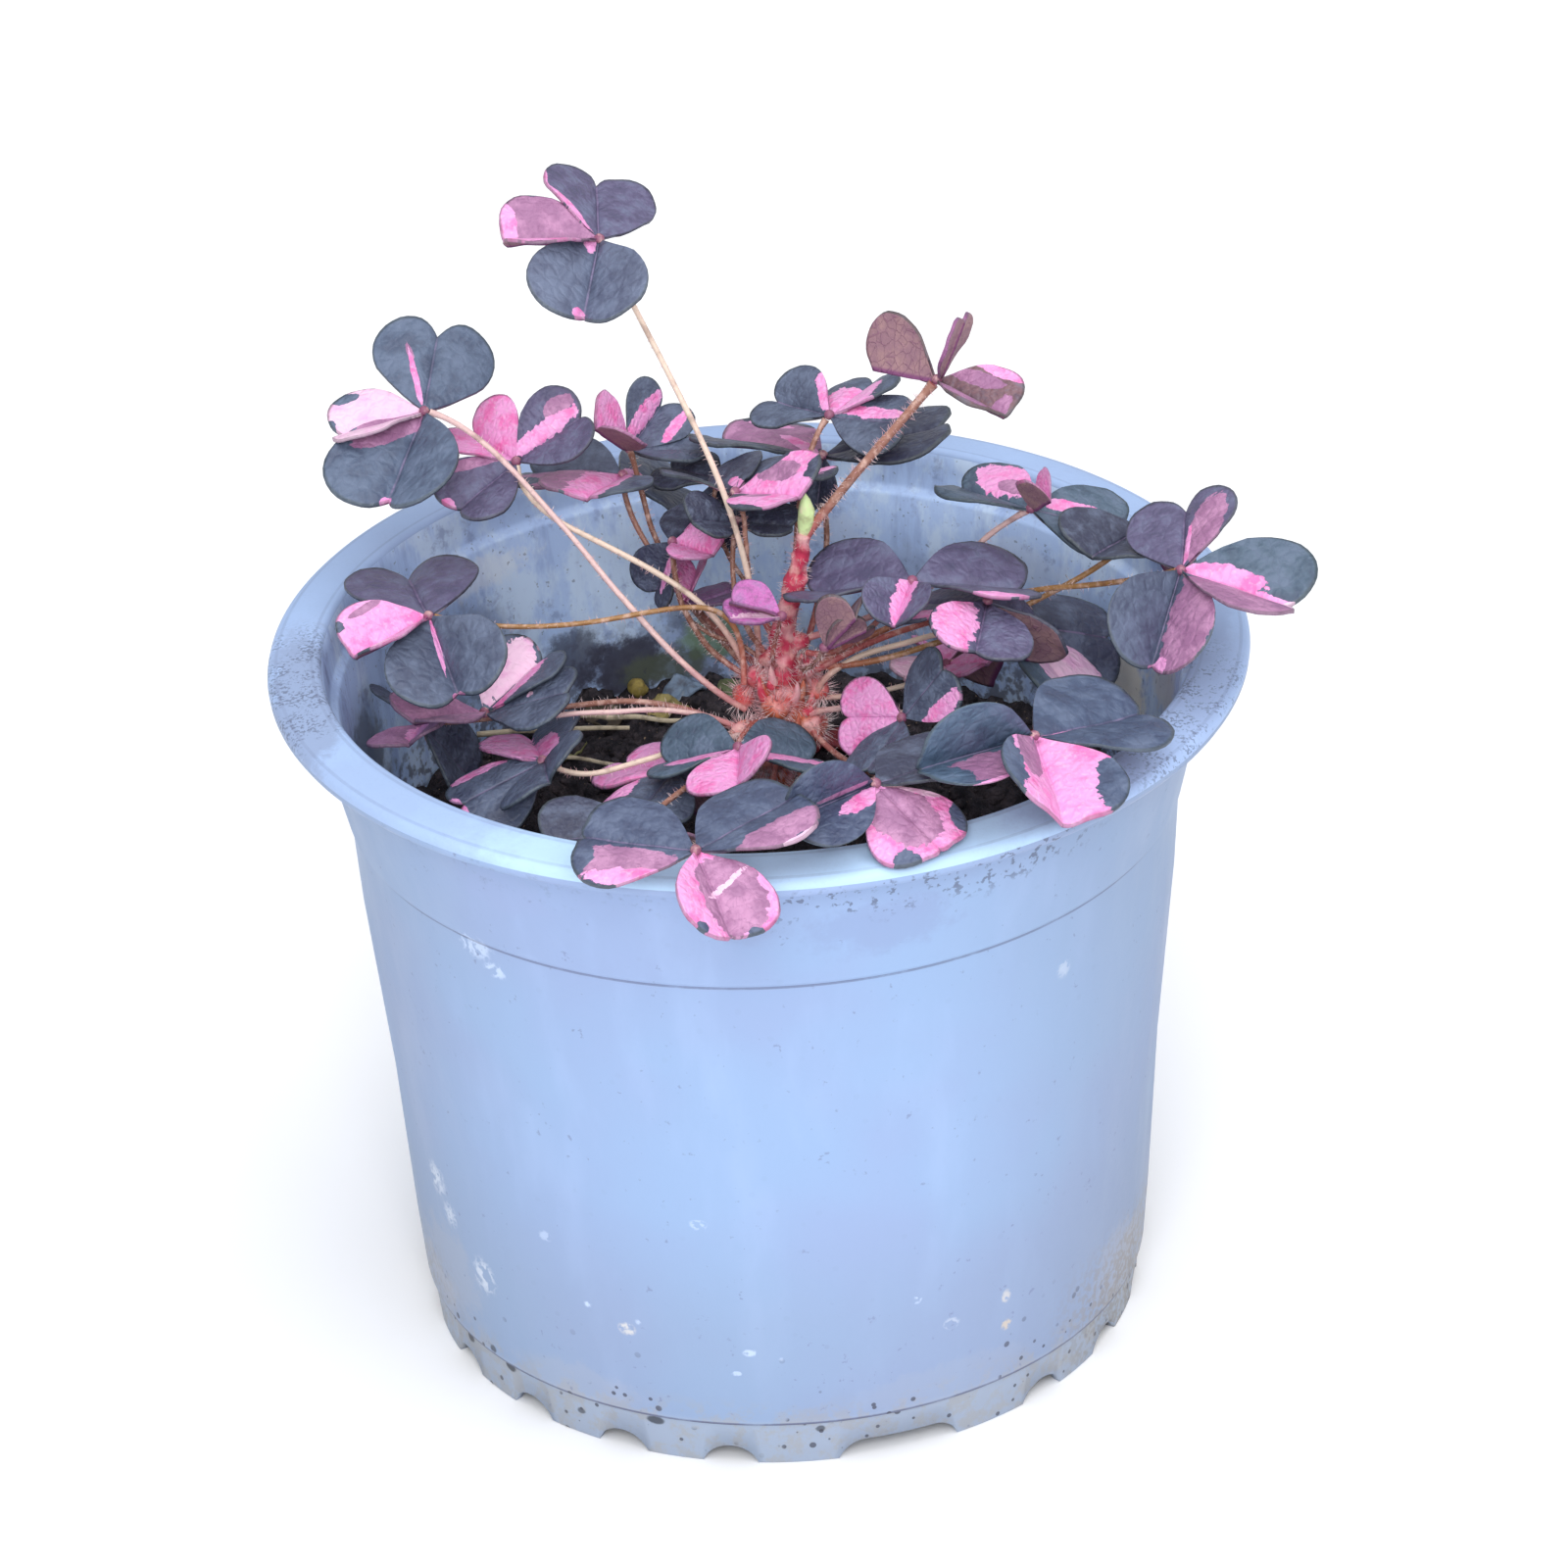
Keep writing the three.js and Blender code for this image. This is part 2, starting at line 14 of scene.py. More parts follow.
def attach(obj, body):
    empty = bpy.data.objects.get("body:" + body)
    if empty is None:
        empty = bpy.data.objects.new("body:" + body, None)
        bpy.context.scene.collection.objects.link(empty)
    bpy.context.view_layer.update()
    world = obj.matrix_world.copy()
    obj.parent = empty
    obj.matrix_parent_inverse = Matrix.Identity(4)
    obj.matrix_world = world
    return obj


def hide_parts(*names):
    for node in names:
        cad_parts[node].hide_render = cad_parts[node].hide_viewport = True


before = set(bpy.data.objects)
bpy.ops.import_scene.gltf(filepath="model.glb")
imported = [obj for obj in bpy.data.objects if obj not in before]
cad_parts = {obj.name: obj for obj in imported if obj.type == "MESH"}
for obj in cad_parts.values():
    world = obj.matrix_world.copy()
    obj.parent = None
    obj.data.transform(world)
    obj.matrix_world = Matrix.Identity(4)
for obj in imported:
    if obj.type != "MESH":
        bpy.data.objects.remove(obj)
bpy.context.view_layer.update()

log = logging.getLogger("purple_shamrock")

MM = 0.001
ROOT = "root"

# The pot's axis stands a little to the side of the frame's origin, in millimetres.
POT_AXIS = Vector((-3.6, 8.3, 0.0))

Colour = tuple[float, float, float]
Triple = tuple[float, float, float]


def srgb(red: int, green: int, blue: int) -> Colour:
    """Turns an 8-bit screen colour into the linear values a shader takes.

    Args:
        red: Red, 0 to 255.
        green: Green, 0 to 255.
        blue: Blue, 0 to 255.

    Returns:
        The linear colour.
    """

    def linear(value: int) -> float:
        """One channel in linear light."""
        share = value / 255
        return share / 12.92 if share <= 0.04045 else ((share + 0.055) / 1.055) ** 2.4

    return linear(red), linear(green), linear(blue)


def place(x: float, y: float, z: float) -> Vector:
    """A point given from the pot's axis in millimetres, in the frame in metres."""
    return (Vector((x, y, z)) + POT_AXIS) * MM


# ---- Meshes ----


def finish_piece(
    name: str,
    bm: bmesh.types.BMesh,
    materials: list[bpy.types.Material],
    replaced: tuple[str, ...] = (),
) -> None:
    """Turns a bmesh in frame metres into a finished piece on the plant's one body.

    Args:
        name: The piece's name.
        bm: Its shape, freed afterwards.
        materials: Its materials, in index order.
        replaced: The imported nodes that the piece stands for.
    """
    mesh = bpy.data.meshes.new(name)
    bm.to_mesh(mesh)
    bm.free()
    mesh.polygons.foreach_set("use_smooth", [True] * len(mesh.polygons))
    piece = bpy.data.objects.new(name, mesh)
    bpy.context.scene.collection.objects.link(piece)
    for material in materials:
        mesh.materials.append(material)
    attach(piece, ROOT)
    if replaced:
        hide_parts(*replaced)
    log.info("%s: %d faces", name, len(mesh.polygons))


def swept_tube(points: list[Vector], radii: list[float], sides: int = 5) -> bpy.types.Mesh:
    """A round tube along points with a radius at each, closed at both ends.

    Args:
        points: The centre line, in metres.
        radii: The radius at each point, in metres.
        sides: The curve bevel resolution.

    Returns:
        The tube's mesh.
    """
    curve = bpy.data.curves.new("tube", "CURVE")
    curve.dimensions = "3D"
    curve.bevel_depth = 1.0
    curve.bevel_resolution = sides
    curve.use_fill_caps = True
    spline = curve.splines.new("POLY")
    spline.points.add(len(points) - 1)
    for knot, at, radius in zip(spline.points, points, radii):
        knot.co = (*at, 1.0)
        knot.radius = radius
    holder = bpy.data.objects.new("tube", curve)
    mesh = bpy.data.meshes.new_from_object(holder)
    bpy.data.objects.remove(holder)
    bpy.data.curves.remove(curve)
    return mesh


def mesh_of(bm: bmesh.types.BMesh, name: str) -> bpy.types.Mesh:
    """A mesh from a bmesh, which is freed."""
    mesh = bpy.data.meshes.new(name)
    bm.to_mesh(mesh)
    bm.free()
    return mesh


def add_mesh(bm: bmesh.types.BMesh, mesh: bpy.types.Mesh) -> None:
    """Adds a mesh to a bmesh and drops the mesh."""
    bm.from_mesh(mesh)
    bpy.data.meshes.remove(mesh)


def add_tinted(bm: bmesh.types.BMesh, mesh: bpy.types.Mesh, tints: list[Colour]) -> None:
    """Adds a mesh with a tint at each of its points, and drops the mesh.

    Args:
        bm: The piece being built.
        mesh: The new part.
        tints: One tint for all points, or one for each.
    """
    layer = mesh.attributes.new("tint", "FLOAT_COLOR", "POINT")
    for index, item in enumerate(layer.data):
        item.color = (*tints[index if len(tints) > 1 else 0], 1.0)
    add_mesh(bm, mesh)


def holder_of(mesh: bpy.types.Mesh) -> bpy.types.Object:
    """A helper object for a mesh, in the scene until it is removed."""
    holder = bpy.data.objects.new(mesh.name, mesh)
    bpy.context.scene.collection.objects.link(holder)
    return holder


def evaluated(piece: bpy.types.Object) -> bpy.types.Mesh:
    """The piece's mesh with its modifiers applied."""
    graph = bpy.context.evaluated_depsgraph_get()
    return bpy.data.meshes.new_from_object(piece.evaluated_get(graph))


def fused(bm: bmesh.types.BMesh, voxel: float) -> bmesh.types.BMesh:
    """Grows crossing bodies together into one skin.

    Args:
        bm: The bodies, freed afterwards.
        voxel: The size of the remesh, in metres.

    Returns:
        The joined body.
    """
    holder = holder_of(mesh_of(bm, "fusing"))
    remesh = holder.modifiers.new("skin", "REMESH")
    remesh.mode = "VOXEL"
    remesh.voxel_size = voxel
    relax = holder.modifiers.new("relax", "SMOOTH")
    relax.factor = 0.5
    relax.iterations = 3
    joined = bmesh.new()
    add_mesh(joined, evaluated(holder))
    bpy.data.meshes.remove(holder.data)
    return joined


# ---- Shader helpers ----

Socket = bpy.types.NodeSocket


class Nodes:
    """Short calls for adding nodes to one shader tree."""

    def __init__(self, tree: bpy.types.NodeTree) -> None:
        """Takes the tree that is added to."""
        self.tree = tree

    def add(self, kind: str) -> bpy.types.Node:
        """A new shader node of a kind."""
        return self.tree.nodes.new(f"ShaderNode{kind}")

    def set(self, socket: Socket, value: object) -> None:
        """Links a socket, or sets a plain value on an input."""
        if isinstance(value, Socket):
            self.tree.links.new(value, socket)
        elif isinstance(value, tuple) and socket.type == "RGBA":
            socket.default_value = (*value[:3], 1.0)
        else:
            socket.default_value = value

    def math(self, operation: str, *values: object) -> Socket:
        """A Math node's result."""
        node = self.add("Math")
        node.operation = operation
        for socket, value in zip(node.inputs, values):
            self.set(socket, value)
        return node.outputs[0]

    def vector(self, operation: str, *values: object) -> Socket:
        """A Vector Math node's result."""
        node = self.add("VectorMath")
        node.operation = operation
        for socket, value in zip(node.inputs, values):
            self.set(socket, value)
        return node.outputs["Value" if operation == "LENGTH" else "Vector"]

    def split(self, value: object) -> list[Socket]:
        """The three parts of a vector."""
        node = self.add("SeparateXYZ")
        self.set(node.inputs[0], value)
        return list(node.outputs)

    def join(self, x: object, y: object, z: object) -> Socket:
        """A vector from three parts."""
        node = self.add("CombineXYZ")
        for socket, value in zip(node.inputs, (x, y, z)):
            self.set(socket, value)
        return node.outputs[0]

    def ramp(
        self, value: object, low: object, high: object, start: float = 0.0, end: float = 1.0
    ) -> Socket:
        """A smooth step of value between low and high.

        Args:
            value: The value to step.
            low: Where the step starts.
            high: Where it ends.
            start: The result below low.
            end: The result above high.

        Returns:
            The stepped value.
        """
        node = self.add("MapRange")
        node.interpolation_type = "SMOOTHSTEP"
        for socket, number in zip(node.inputs, (value, low, high, start, end)):
            self.set(socket, number)
        return node.outputs["Result"]

    def fade(self, value: object, low: object, high: object) -> Socket:
        """A smooth step of value down from 1 at low to 0 at high."""
        return self.ramp(value, low, high, 1.0, 0.0)

    def product(self, first: object, *others: object) -> Socket:
        """All the values multiplied together."""
        for value in others:
            first = self.math("MULTIPLY", first, value)
        return first

    def noise(
        self, where: object, scale: float, detail: float = 3.0, rough: float = 0.55
    ) -> Socket:
        """Noise from 0 to 1 at a scale, in the units of where."""
        node = self.add("TexNoise")
        self.set(node.inputs["Vector"], where)
        node.inputs["Scale"].default_value = scale
        node.inputs["Detail"].default_value = detail
        node.inputs["Roughness"].default_value = rough
        return node.outputs["Fac"]

    def cells(self, where: object, scale: float, feature: str = "F1") -> Socket:
        """Distance in a cell pattern."""
        node = self.add("TexVoronoi")
        node.feature = feature
        self.set(node.inputs["Vector"], where)
        node.inputs["Scale"].default_value = scale
        return node.outputs["Distance"]

    def mix(self, share: object, one: object, other: object) -> Socket:
        """One colour mixed towards another."""
        node = self.add("Mix")
        node.data_type = "RGBA"
        for index, value in ((0, share), (6, one), (7, other)):
            self.set(node.inputs[index], value)
        return node.outputs[2]

    def bump(self, height: object, depth: float, strength: float) -> Socket:
        """A normal raised by a height."""
        node = self.add("Bump")
        node.inputs["Strength"].default_value = strength
        node.inputs["Distance"].default_value = depth
        self.set(node.inputs["Height"], height)
        return node.outputs[0]

    def effect(self, effect: type["Effect"], *values: object) -> list[Socket]:
        """Adds a shared effect with values on its inputs in order, and gives its outputs."""
        node = self.add("Group")
        node.node_tree = effect.tree()
        for socket, value in zip(node.inputs, values):
            self.set(socket, value)
        return list(node.outputs)

    def tinted(
        self, colour: object, tint: Colour, pattern: object, low: float, high: float, share: float
    ) -> Socket:
        """A colour mixed towards a tint as a pattern goes from low to high, up to share."""
        return self.effect(PatternTint, colour, tint, pattern, low, high, share)[0]

    def masked(self, colour: object, tint: Colour, mask: object, share: float) -> Socket:
        """A colour mixed towards a tint under the whole of a mask."""
        return self.tinted(colour, tint, mask, 0.0, 1.0, share)


class Effect:
    """A shader node group that several finishes share, made when first asked for."""

    takes: tuple[tuple[str, str], ...] = ()
    gives: tuple[tuple[str, str], ...] = ()

    @classmethod
    def tree(cls) -> bpy.types.NodeTree:
        """The group's tree, with its inputs and outputs."""
        known = bpy.data.node_groups.get(cls.__name__)
        if known is not None:
            return known
        tree = bpy.data.node_groups.new(cls.__name__, "ShaderNodeTree")
        for way, sockets in (("INPUT", cls.takes), ("OUTPUT", cls.gives)):
            for name, kind in sockets:
                tree.interface.new_socket(name, in_out=way, socket_type=f"NodeSocket{kind}")
        s = Nodes(tree)
        given = tree.nodes.new("NodeGroupInput")
        made = tree.nodes.new("NodeGroupOutput")
        results = cls.work(s, *(given.outputs[name] for name, _ in cls.takes))
        for (name, _), result in zip(cls.gives, results):
            s.set(made.inputs[name], result)
        return tree

    @staticmethod
    def work(s: Nodes, *values: Socket) -> tuple[Socket, ...]:
        """Turns the inputs into the outputs."""
        raise NotImplementedError


class PatternTint(Effect):
    """A colour mixed towards a tint where a pattern is high."""

    takes = (
        ("Colour", "Color"), ("Tint", "Color"), ("Pattern", "Float"),
        ("Low", "Float"), ("High", "Float"), ("Share", "Float"),
    )
    gives = (("Colour", "Color"),)

    @staticmethod
    def work(s: Nodes, *values: Socket) -> tuple[Socket, ...]:
        """Turns the inputs into the outputs."""
        colour, tint, pattern, low, high, share = values
        return (s.mix(s.product(s.ramp(pattern, low, high), share), colour, tint),)


class RaggedSpot(Effect):
    """A mask round a place, with an edge that a pattern eats into."""

    takes = (
        ("Where", "Vector"), ("Centre", "Vector"), ("Size", "Vector"),
        ("Ragged", "Float"), ("Reach", "Float"),
    )
    gives = (("Mask", "Float"),)

    @staticmethod
    def work(s: Nodes, *values: Socket) -> tuple[Socket, ...]:
        """Turns the inputs into the outputs."""
        where, centre, size, ragged, reach = values
        shape = s.vector("DIVIDE", s.vector("SUBTRACT", where, centre), size)
        near = s.math("SUBTRACT", 1.0, s.vector("LENGTH", shape))
        eaten = s.product(s.math("MULTIPLY_ADD", ragged, -2.0, 1.0), reach)
        return (s.ramp(s.math("ADD", near, eaten), 0.0, 0.55),)


class LevelLine(Effect):
    """A thin dark level line, broken by a pattern."""

    takes = (("Height", "Float"), ("Level", "Float"), ("Width", "Float"), ("Pattern", "Float"))
    gives = (("Mask", "Float"),)

    @staticmethod
    def work(s: Nodes, *values: Socket) -> tuple[Socket, ...]:
        """Turns the inputs into the outputs."""
        height, level, width, pattern = values
        away = s.math("ABSOLUTE", s.math("SUBTRACT", height, level))
        near = s.fade(s.math("DIVIDE", away, width), 0.4, 1.0)
        return (s.product(near, s.ramp(pattern, 0.25, 0.6, 0.45, 1.0)),)


class LeafGrain(Effect):
    """The patterns of a leaf blade over its own flat coordinates."""

    takes = (("Flat", "Vector"), ("Seed", "Float"))
    gives = (
        ("Blotch", "Float"), ("Fine", "Float"), ("Jag", "Float"),
        ("Net", "Float"), ("Pillow", "Float"), ("Midrib", "Float"),
    )

    @staticmethod
    def work(s: Nodes, *values: Socket) -> tuple[Socket, ...]:
        """Turns the inputs into the outputs."""
        flat, seed = values
        u, v, _ = s.split(flat)
        side = s.math("ABSOLUTE", v)
        across = s.product(s.math("MULTIPLY_ADD", side, -0.75, u), 9.0)
        along = s.product(s.math("ADD", u, side), 3.2)
        here = s.join(u, v, seed)
        blotch = s.noise(here, 4.5, 4.0, 0.6)
        fine = s.noise(here, 24.0, 3.0, 0.6)
        streak = s.noise(s.join(across, along, seed), 1.0, 3.0)
        nibble = s.product(s.math("SUBTRACT", fine, 0.5), 0.35)
        jag = s.math("MULTIPLY_ADD", s.math("SUBTRACT", streak, 0.5), 0.9, nibble)
        bent_u = s.math("MULTIPLY_ADD", fine, 0.05, u)
        bent_v = s.math("MULTIPLY_ADD", blotch, 0.08, v)
        edge = s.cells(s.join(bent_u, bent_v, seed), 10.0, "DISTANCE_TO_EDGE")
        net = s.fade(edge, 0.0, 0.06)
        midrib = s.fade(side, 0.004, 0.02)
        return blotch, fine, jag, net, s.ramp(edge, 0.0, 0.3), midrib


class Shading(Nodes):
    """One material, with the nodes that its Principled shader takes."""

    def __init__(self, name: str, roughness: float, specular: float = 0.5) -> None:
        """Starts a material with a Principled shader.

        Args:
            name: The material's name.
            roughness: The roughness where nothing is linked.
            specular: The shader's specular level.
        """
        self.material = bpy.data.materials.new(name)
        self.material.use_nodes = True
        super().__init__(self.material.node_tree)
        self.shader = self.tree.nodes["Principled BSDF"]
        self.shader.inputs["Roughness"].default_value = roughness
        self.shader.inputs["Specular IOR Level"].default_value = specular
        self.coords = self.add("TexCoord")

    def at(self) -> Socket:
        """Object coordinates, in metres."""
        return self.coords.outputs["Object"]

    def uv(self) -> Socket:
        """The piece's own UV map."""
        return self.coords.outputs["UV"]

    def attribute(self, name: str, output: str = "Fac") -> Socket:
        """A vertex attribute's output."""
        node = self.add("Attribute")
        node.attribute_name = name
        return node.outputs[output]

    def spot(self, centre: Triple, radii: Triple, ragged: object, reach: float = 0.5) -> Socket:
        """A mask round a place, in millimetres from the pot's axis, with an eaten edge."""
        size = tuple(radius * MM for radius in radii)
        return self.effect(RaggedSpot, self.at(), tuple(place(*centre)), size, ragged, reach)[0]

    def done(
        self, colour: object, normal: object = None, roughness: object = None
    ) -> bpy.types.Material:
        """Links what was made to the shader.

        Args:
            colour: The base colour.
            normal: The normal, if raised.
            roughness: The roughness, if it changes over the surface.

        Returns:
            The material.
        """
        self.set(self.shader.inputs["Base Color"], colour)
        if normal is not None:
            self.set(self.shader.inputs["Normal"], normal)
        if roughness is not None:
            self.set(self.shader.inputs["Roughness"], roughness)
        return self.material


# ---- Finishes ----


@dataclass(frozen=True)
class BladeFinish:
    """The face of a leaf blade, painted from the marks stored on its mesh."""

    name: str = "blade_upper"
    pink: Colour = srgb(234, 158, 212)
    hot: Colour = srgb(232, 106, 176)
    rose: Colour = srgb(206, 108, 168)
    pale: Colour = srgb(240, 200, 226)
    mauve: Colour = srgb(158, 110, 148)
    bruise: Colour = srgb(132, 86, 124)
    blush: Colour = srgb(192, 140, 178)
    sheen: Colour = srgb(120, 132, 158)
    shade: Colour = srgb(66, 70, 94)
    rib: Colour = srgb(136, 120, 156)
    margin: Colour = srgb(72, 80, 76)
    vein: Colour = srgb(118, 76, 116)
    relief: float = 0.00025

    def build(self) -> bpy.types.Material:
        """Makes the material.

        Returns:
            The material.
        """
        s = Shading(self.name, 0.5, 0.4)
        blotch, fine, jag, net, pillow, midrib = s.effect(LeafGrain, s.uv(), s.attribute("seed"))
        pink_at, pale_at, mauve_at = s.split(s.attribute("marks", "Color"))

        dark = s.tinted(s.attribute("tone", "Color"), self.sheen, blotch, 0.42, 0.68, 0.42)
        dark = s.tinted(dark, self.shade, s.math("SUBTRACT", 1.0, blotch), 0.46, 0.68, 0.5)
        dark = s.tinted(dark, self.sheen, fine, 0.5, 0.75, 0.16)
        dark = s.tinted(dark, self.shade, net, 0.2, 1.0, 0.18)
        rib = s.product(midrib, s.ramp(blotch, 0.35, 0.6))
        dark = s.tinted(dark, self.rib, rib, 0.3, 1.0, 0.45)
        mauve = s.tinted(self.mauve, self.blush, blotch, 0.4, 0.66, 0.9)
        mauve = s.tinted(mauve, self.bruise, fine, 0.52, 0.72, 0.5)
        mauve = s.tinted(mauve, self.vein, net, 0.2, 1.0, 0.22)
        pink = s.tinted(self.pink, self.hot, blotch, 0.44, 0.68, 0.85)
        pink = s.tinted(pink, self.pale, fine, 0.5, 0.72, 0.45)
        pink = s.tinted(pink, self.rose, net, 0.2, 1.0, 0.12)
        pale = s.tinted(self.pale, self.pink, blotch, 0.45, 0.7, 0.6)

        def painted(under: object, mark: object, over: object, extra: float) -> Socket:
            """One colour over another where its mark is, with a jagged edge."""
            ragged = s.math("MULTIPLY_ADD", jag, extra, mark)
            return s.mix(s.ramp(ragged, 0.0, 0.04), under, over)

        colour = painted(dark, mauve_at, mauve, 0.7)
        colour = painted(colour, pink_at, pink, 1.0)
        colour = painted(colour, s.attribute("blush"), mauve, 0.7)
        colour = painted(colour, pale_at, pale, 1.0)
        colour = painted(colour, s.attribute("dark_marks"), dark, 1.0)
        colour = s.tinted(colour, self.vein, midrib, 0.4, 1.0, 0.15)
        rim = s.math("MULTIPLY_ADD", s.math("SUBTRACT", blotch, 0.5), 0.05, s.attribute("rim"))
        colour = s.tinted(colour, self.margin, rim, 0.965, 0.99, 0.5)
        height = s.math("MULTIPLY_ADD", fine, 0.5, pillow)
        height = s.math("MULTIPLY_ADD", midrib, -1.2, height)
        gloss = s.ramp(blotch, 0.3, 0.7, 0.42, 0.58)
        return s.done(colour, s.bump(height, self.relief, 0.4), gloss)


@dataclass(frozen=True)
class UndersideFinish:
    """The dull underside of a blade, with its raised purple midrib."""

    name: str = "blade_under"
    ground: Colour = srgb(150, 112, 122)
    light: Colour = srgb(176, 140, 138)
    rib: Colour = srgb(120, 60, 112)
    relief: float = 0.00025

    def build(self) -> bpy.types.Material:
        """Makes the material.

        Returns:
            The material.
        """
        s = Shading(self.name, 0.6, 0.3)
        blotch, fine, _, net, _, midrib = s.effect(LeafGrain, s.uv(), s.attribute("seed"))
        _, v, _ = s.split(s.uv())
        wide = s.fade(s.math("ABSOLUTE", v), 0.01, 0.05)
        colour = s.mix(0.55, self.ground, s.attribute("under", "Color"))
        colour = s.tinted(colour, self.light, blotch, 0.4, 0.7, 0.7)
        colour = s.tinted(colour, self.rib, net, 0.1, 1.0, 0.3)
        colour = s.masked(colour, self.rib, wide, 0.85)
        height = s.math("ADD", s.product(wide, 2.0), s.math("ADD", net, fine))
        return s.done(colour, s.bump(height, self.relief, 0.5))


@dataclass(frozen=True)
class StalkFinish:
    """Skin of the stem, its crown and the leaf stalks, from the tint on the mesh."""

    name: str = "stalk_skin"
    light: Colour = srgb(250, 214, 200)
    dark: Colour = srgb(104, 58, 50)

    def build(self) -> bpy.types.Material:
        """Makes the material.

        Returns:
            The material.
        """
        s = Shading(self.name, 0.45, 0.45)
        streak = s.noise(s.at(), 900.0, 3.0)
        blotch = s.noise(s.at(), 420.0, 3.0)
        colour = s.tinted(s.attribute("tint", "Color"), self.light, streak, 0.45, 0.72, 0.45)
        colour = s.tinted(colour, self.dark, blotch, 0.54, 0.7, 0.4)
        return s.done(colour, s.bump(s.math("ADD", streak, blotch), 0.0003, 0.6))


@dataclass(frozen=True)
class HairFinish:
    """Fine pale hairs of the stem and stalks."""

    name: str = "stem_hair"
    white: Colour = srgb(255, 238, 238)
    rosy: Colour = srgb(240, 190, 198)

    def build(self) -> bpy.types.Material:
        """Makes the material.

        Returns:
            The material.
        """
        s = Shading(self.name, 0.5, 0.3)
        drift = s.noise(s.at(), 300.0, 2.0)
        return s.done(s.mix(s.ramp(drift, 0.4, 0.6), self.white, self.rosy))


@dataclass(frozen=True)
class SoilFinish:
    """Near black, crumbly potting soil."""

    name: str = "potting_soil"
    damp: Colour = srgb(30, 27, 33)
    dry: Colour = srgb(72, 64, 68)
    fibre: Colour = srgb(140, 120, 100)

    def build(self) -> bpy.types.Material:
        """Makes the material.

        Returns:
            The material.
        """
        s = Shading(self.name, 0.9, 0.3)
        lump = s.noise(s.at(), 420.0, 5.0, 0.65)
        fleck = s.noise(s.at(), 1900.0, 2.0)
        colour = s.tinted(self.damp, self.dry, lump, 0.38, 0.7, 1.0)
        colour = s.tinted(colour, self.fibre, fleck, 0.68, 0.76, 1.0)
        normal = s.bump(s.math("MULTIPLY_ADD", fleck, 0.4, lump), 0.0012, 0.9)
        return s.done(colour, normal)


@dataclass(frozen=True)
class LitterFinish:
    """Dry scraps on the soil, from the tint on the mesh."""

    name: str = "dry_litter"
    rot: Colour = srgb(58, 44, 38)
    bleached: Colour = srgb(226, 214, 180)

    def build(self) -> bpy.types.Material:
        """Makes the material.

        Returns:
            The material.
        """
        s = Shading(self.name, 0.7, 0.3)
        grain = s.noise(s.at(), 600.0, 4.0)
        worn = s.math("SUBTRACT", 1.0, grain)
        colour = s.tinted(s.attribute("tint", "Color"), self.rot, grain, 0.45, 0.7, 0.6)
        colour = s.tinted(colour, self.bleached, worn, 0.55, 0.75, 0.3)
        return s.done(colour, s.bump(grain, 0.0005, 0.6))


class PotZone(Enum):
    """Which part of the pot a finish is for."""

    OUTSIDE = 0
    LIP = 1
    INSIDE = 2


@dataclass(frozen=True)
class StainOrShade:
    """A patch of dirt, wear or painted shade on the pot, in millimetres from its axis."""

    centre: Triple
    radii: Triple
    tint: Colour
    share: float
    reach: float = 0.7


BEIGE = srgb(196, 186, 176)
LIME = srgb(226, 232, 240)
CHIP = srgb(212, 228, 252)
ALGAE = srgb(60, 60, 76)
MUD = srgb(44, 48, 58)
HAZE = srgb(196, 212, 240)

# A stain narrower than this, in millimetres, is a chip with a finely broken face.
CHIP_RADIUS = 4.0

# A chip whose edge is eaten less deeply than this stays whole, like a splash of mud.
WHOLE_REACH = 0.3

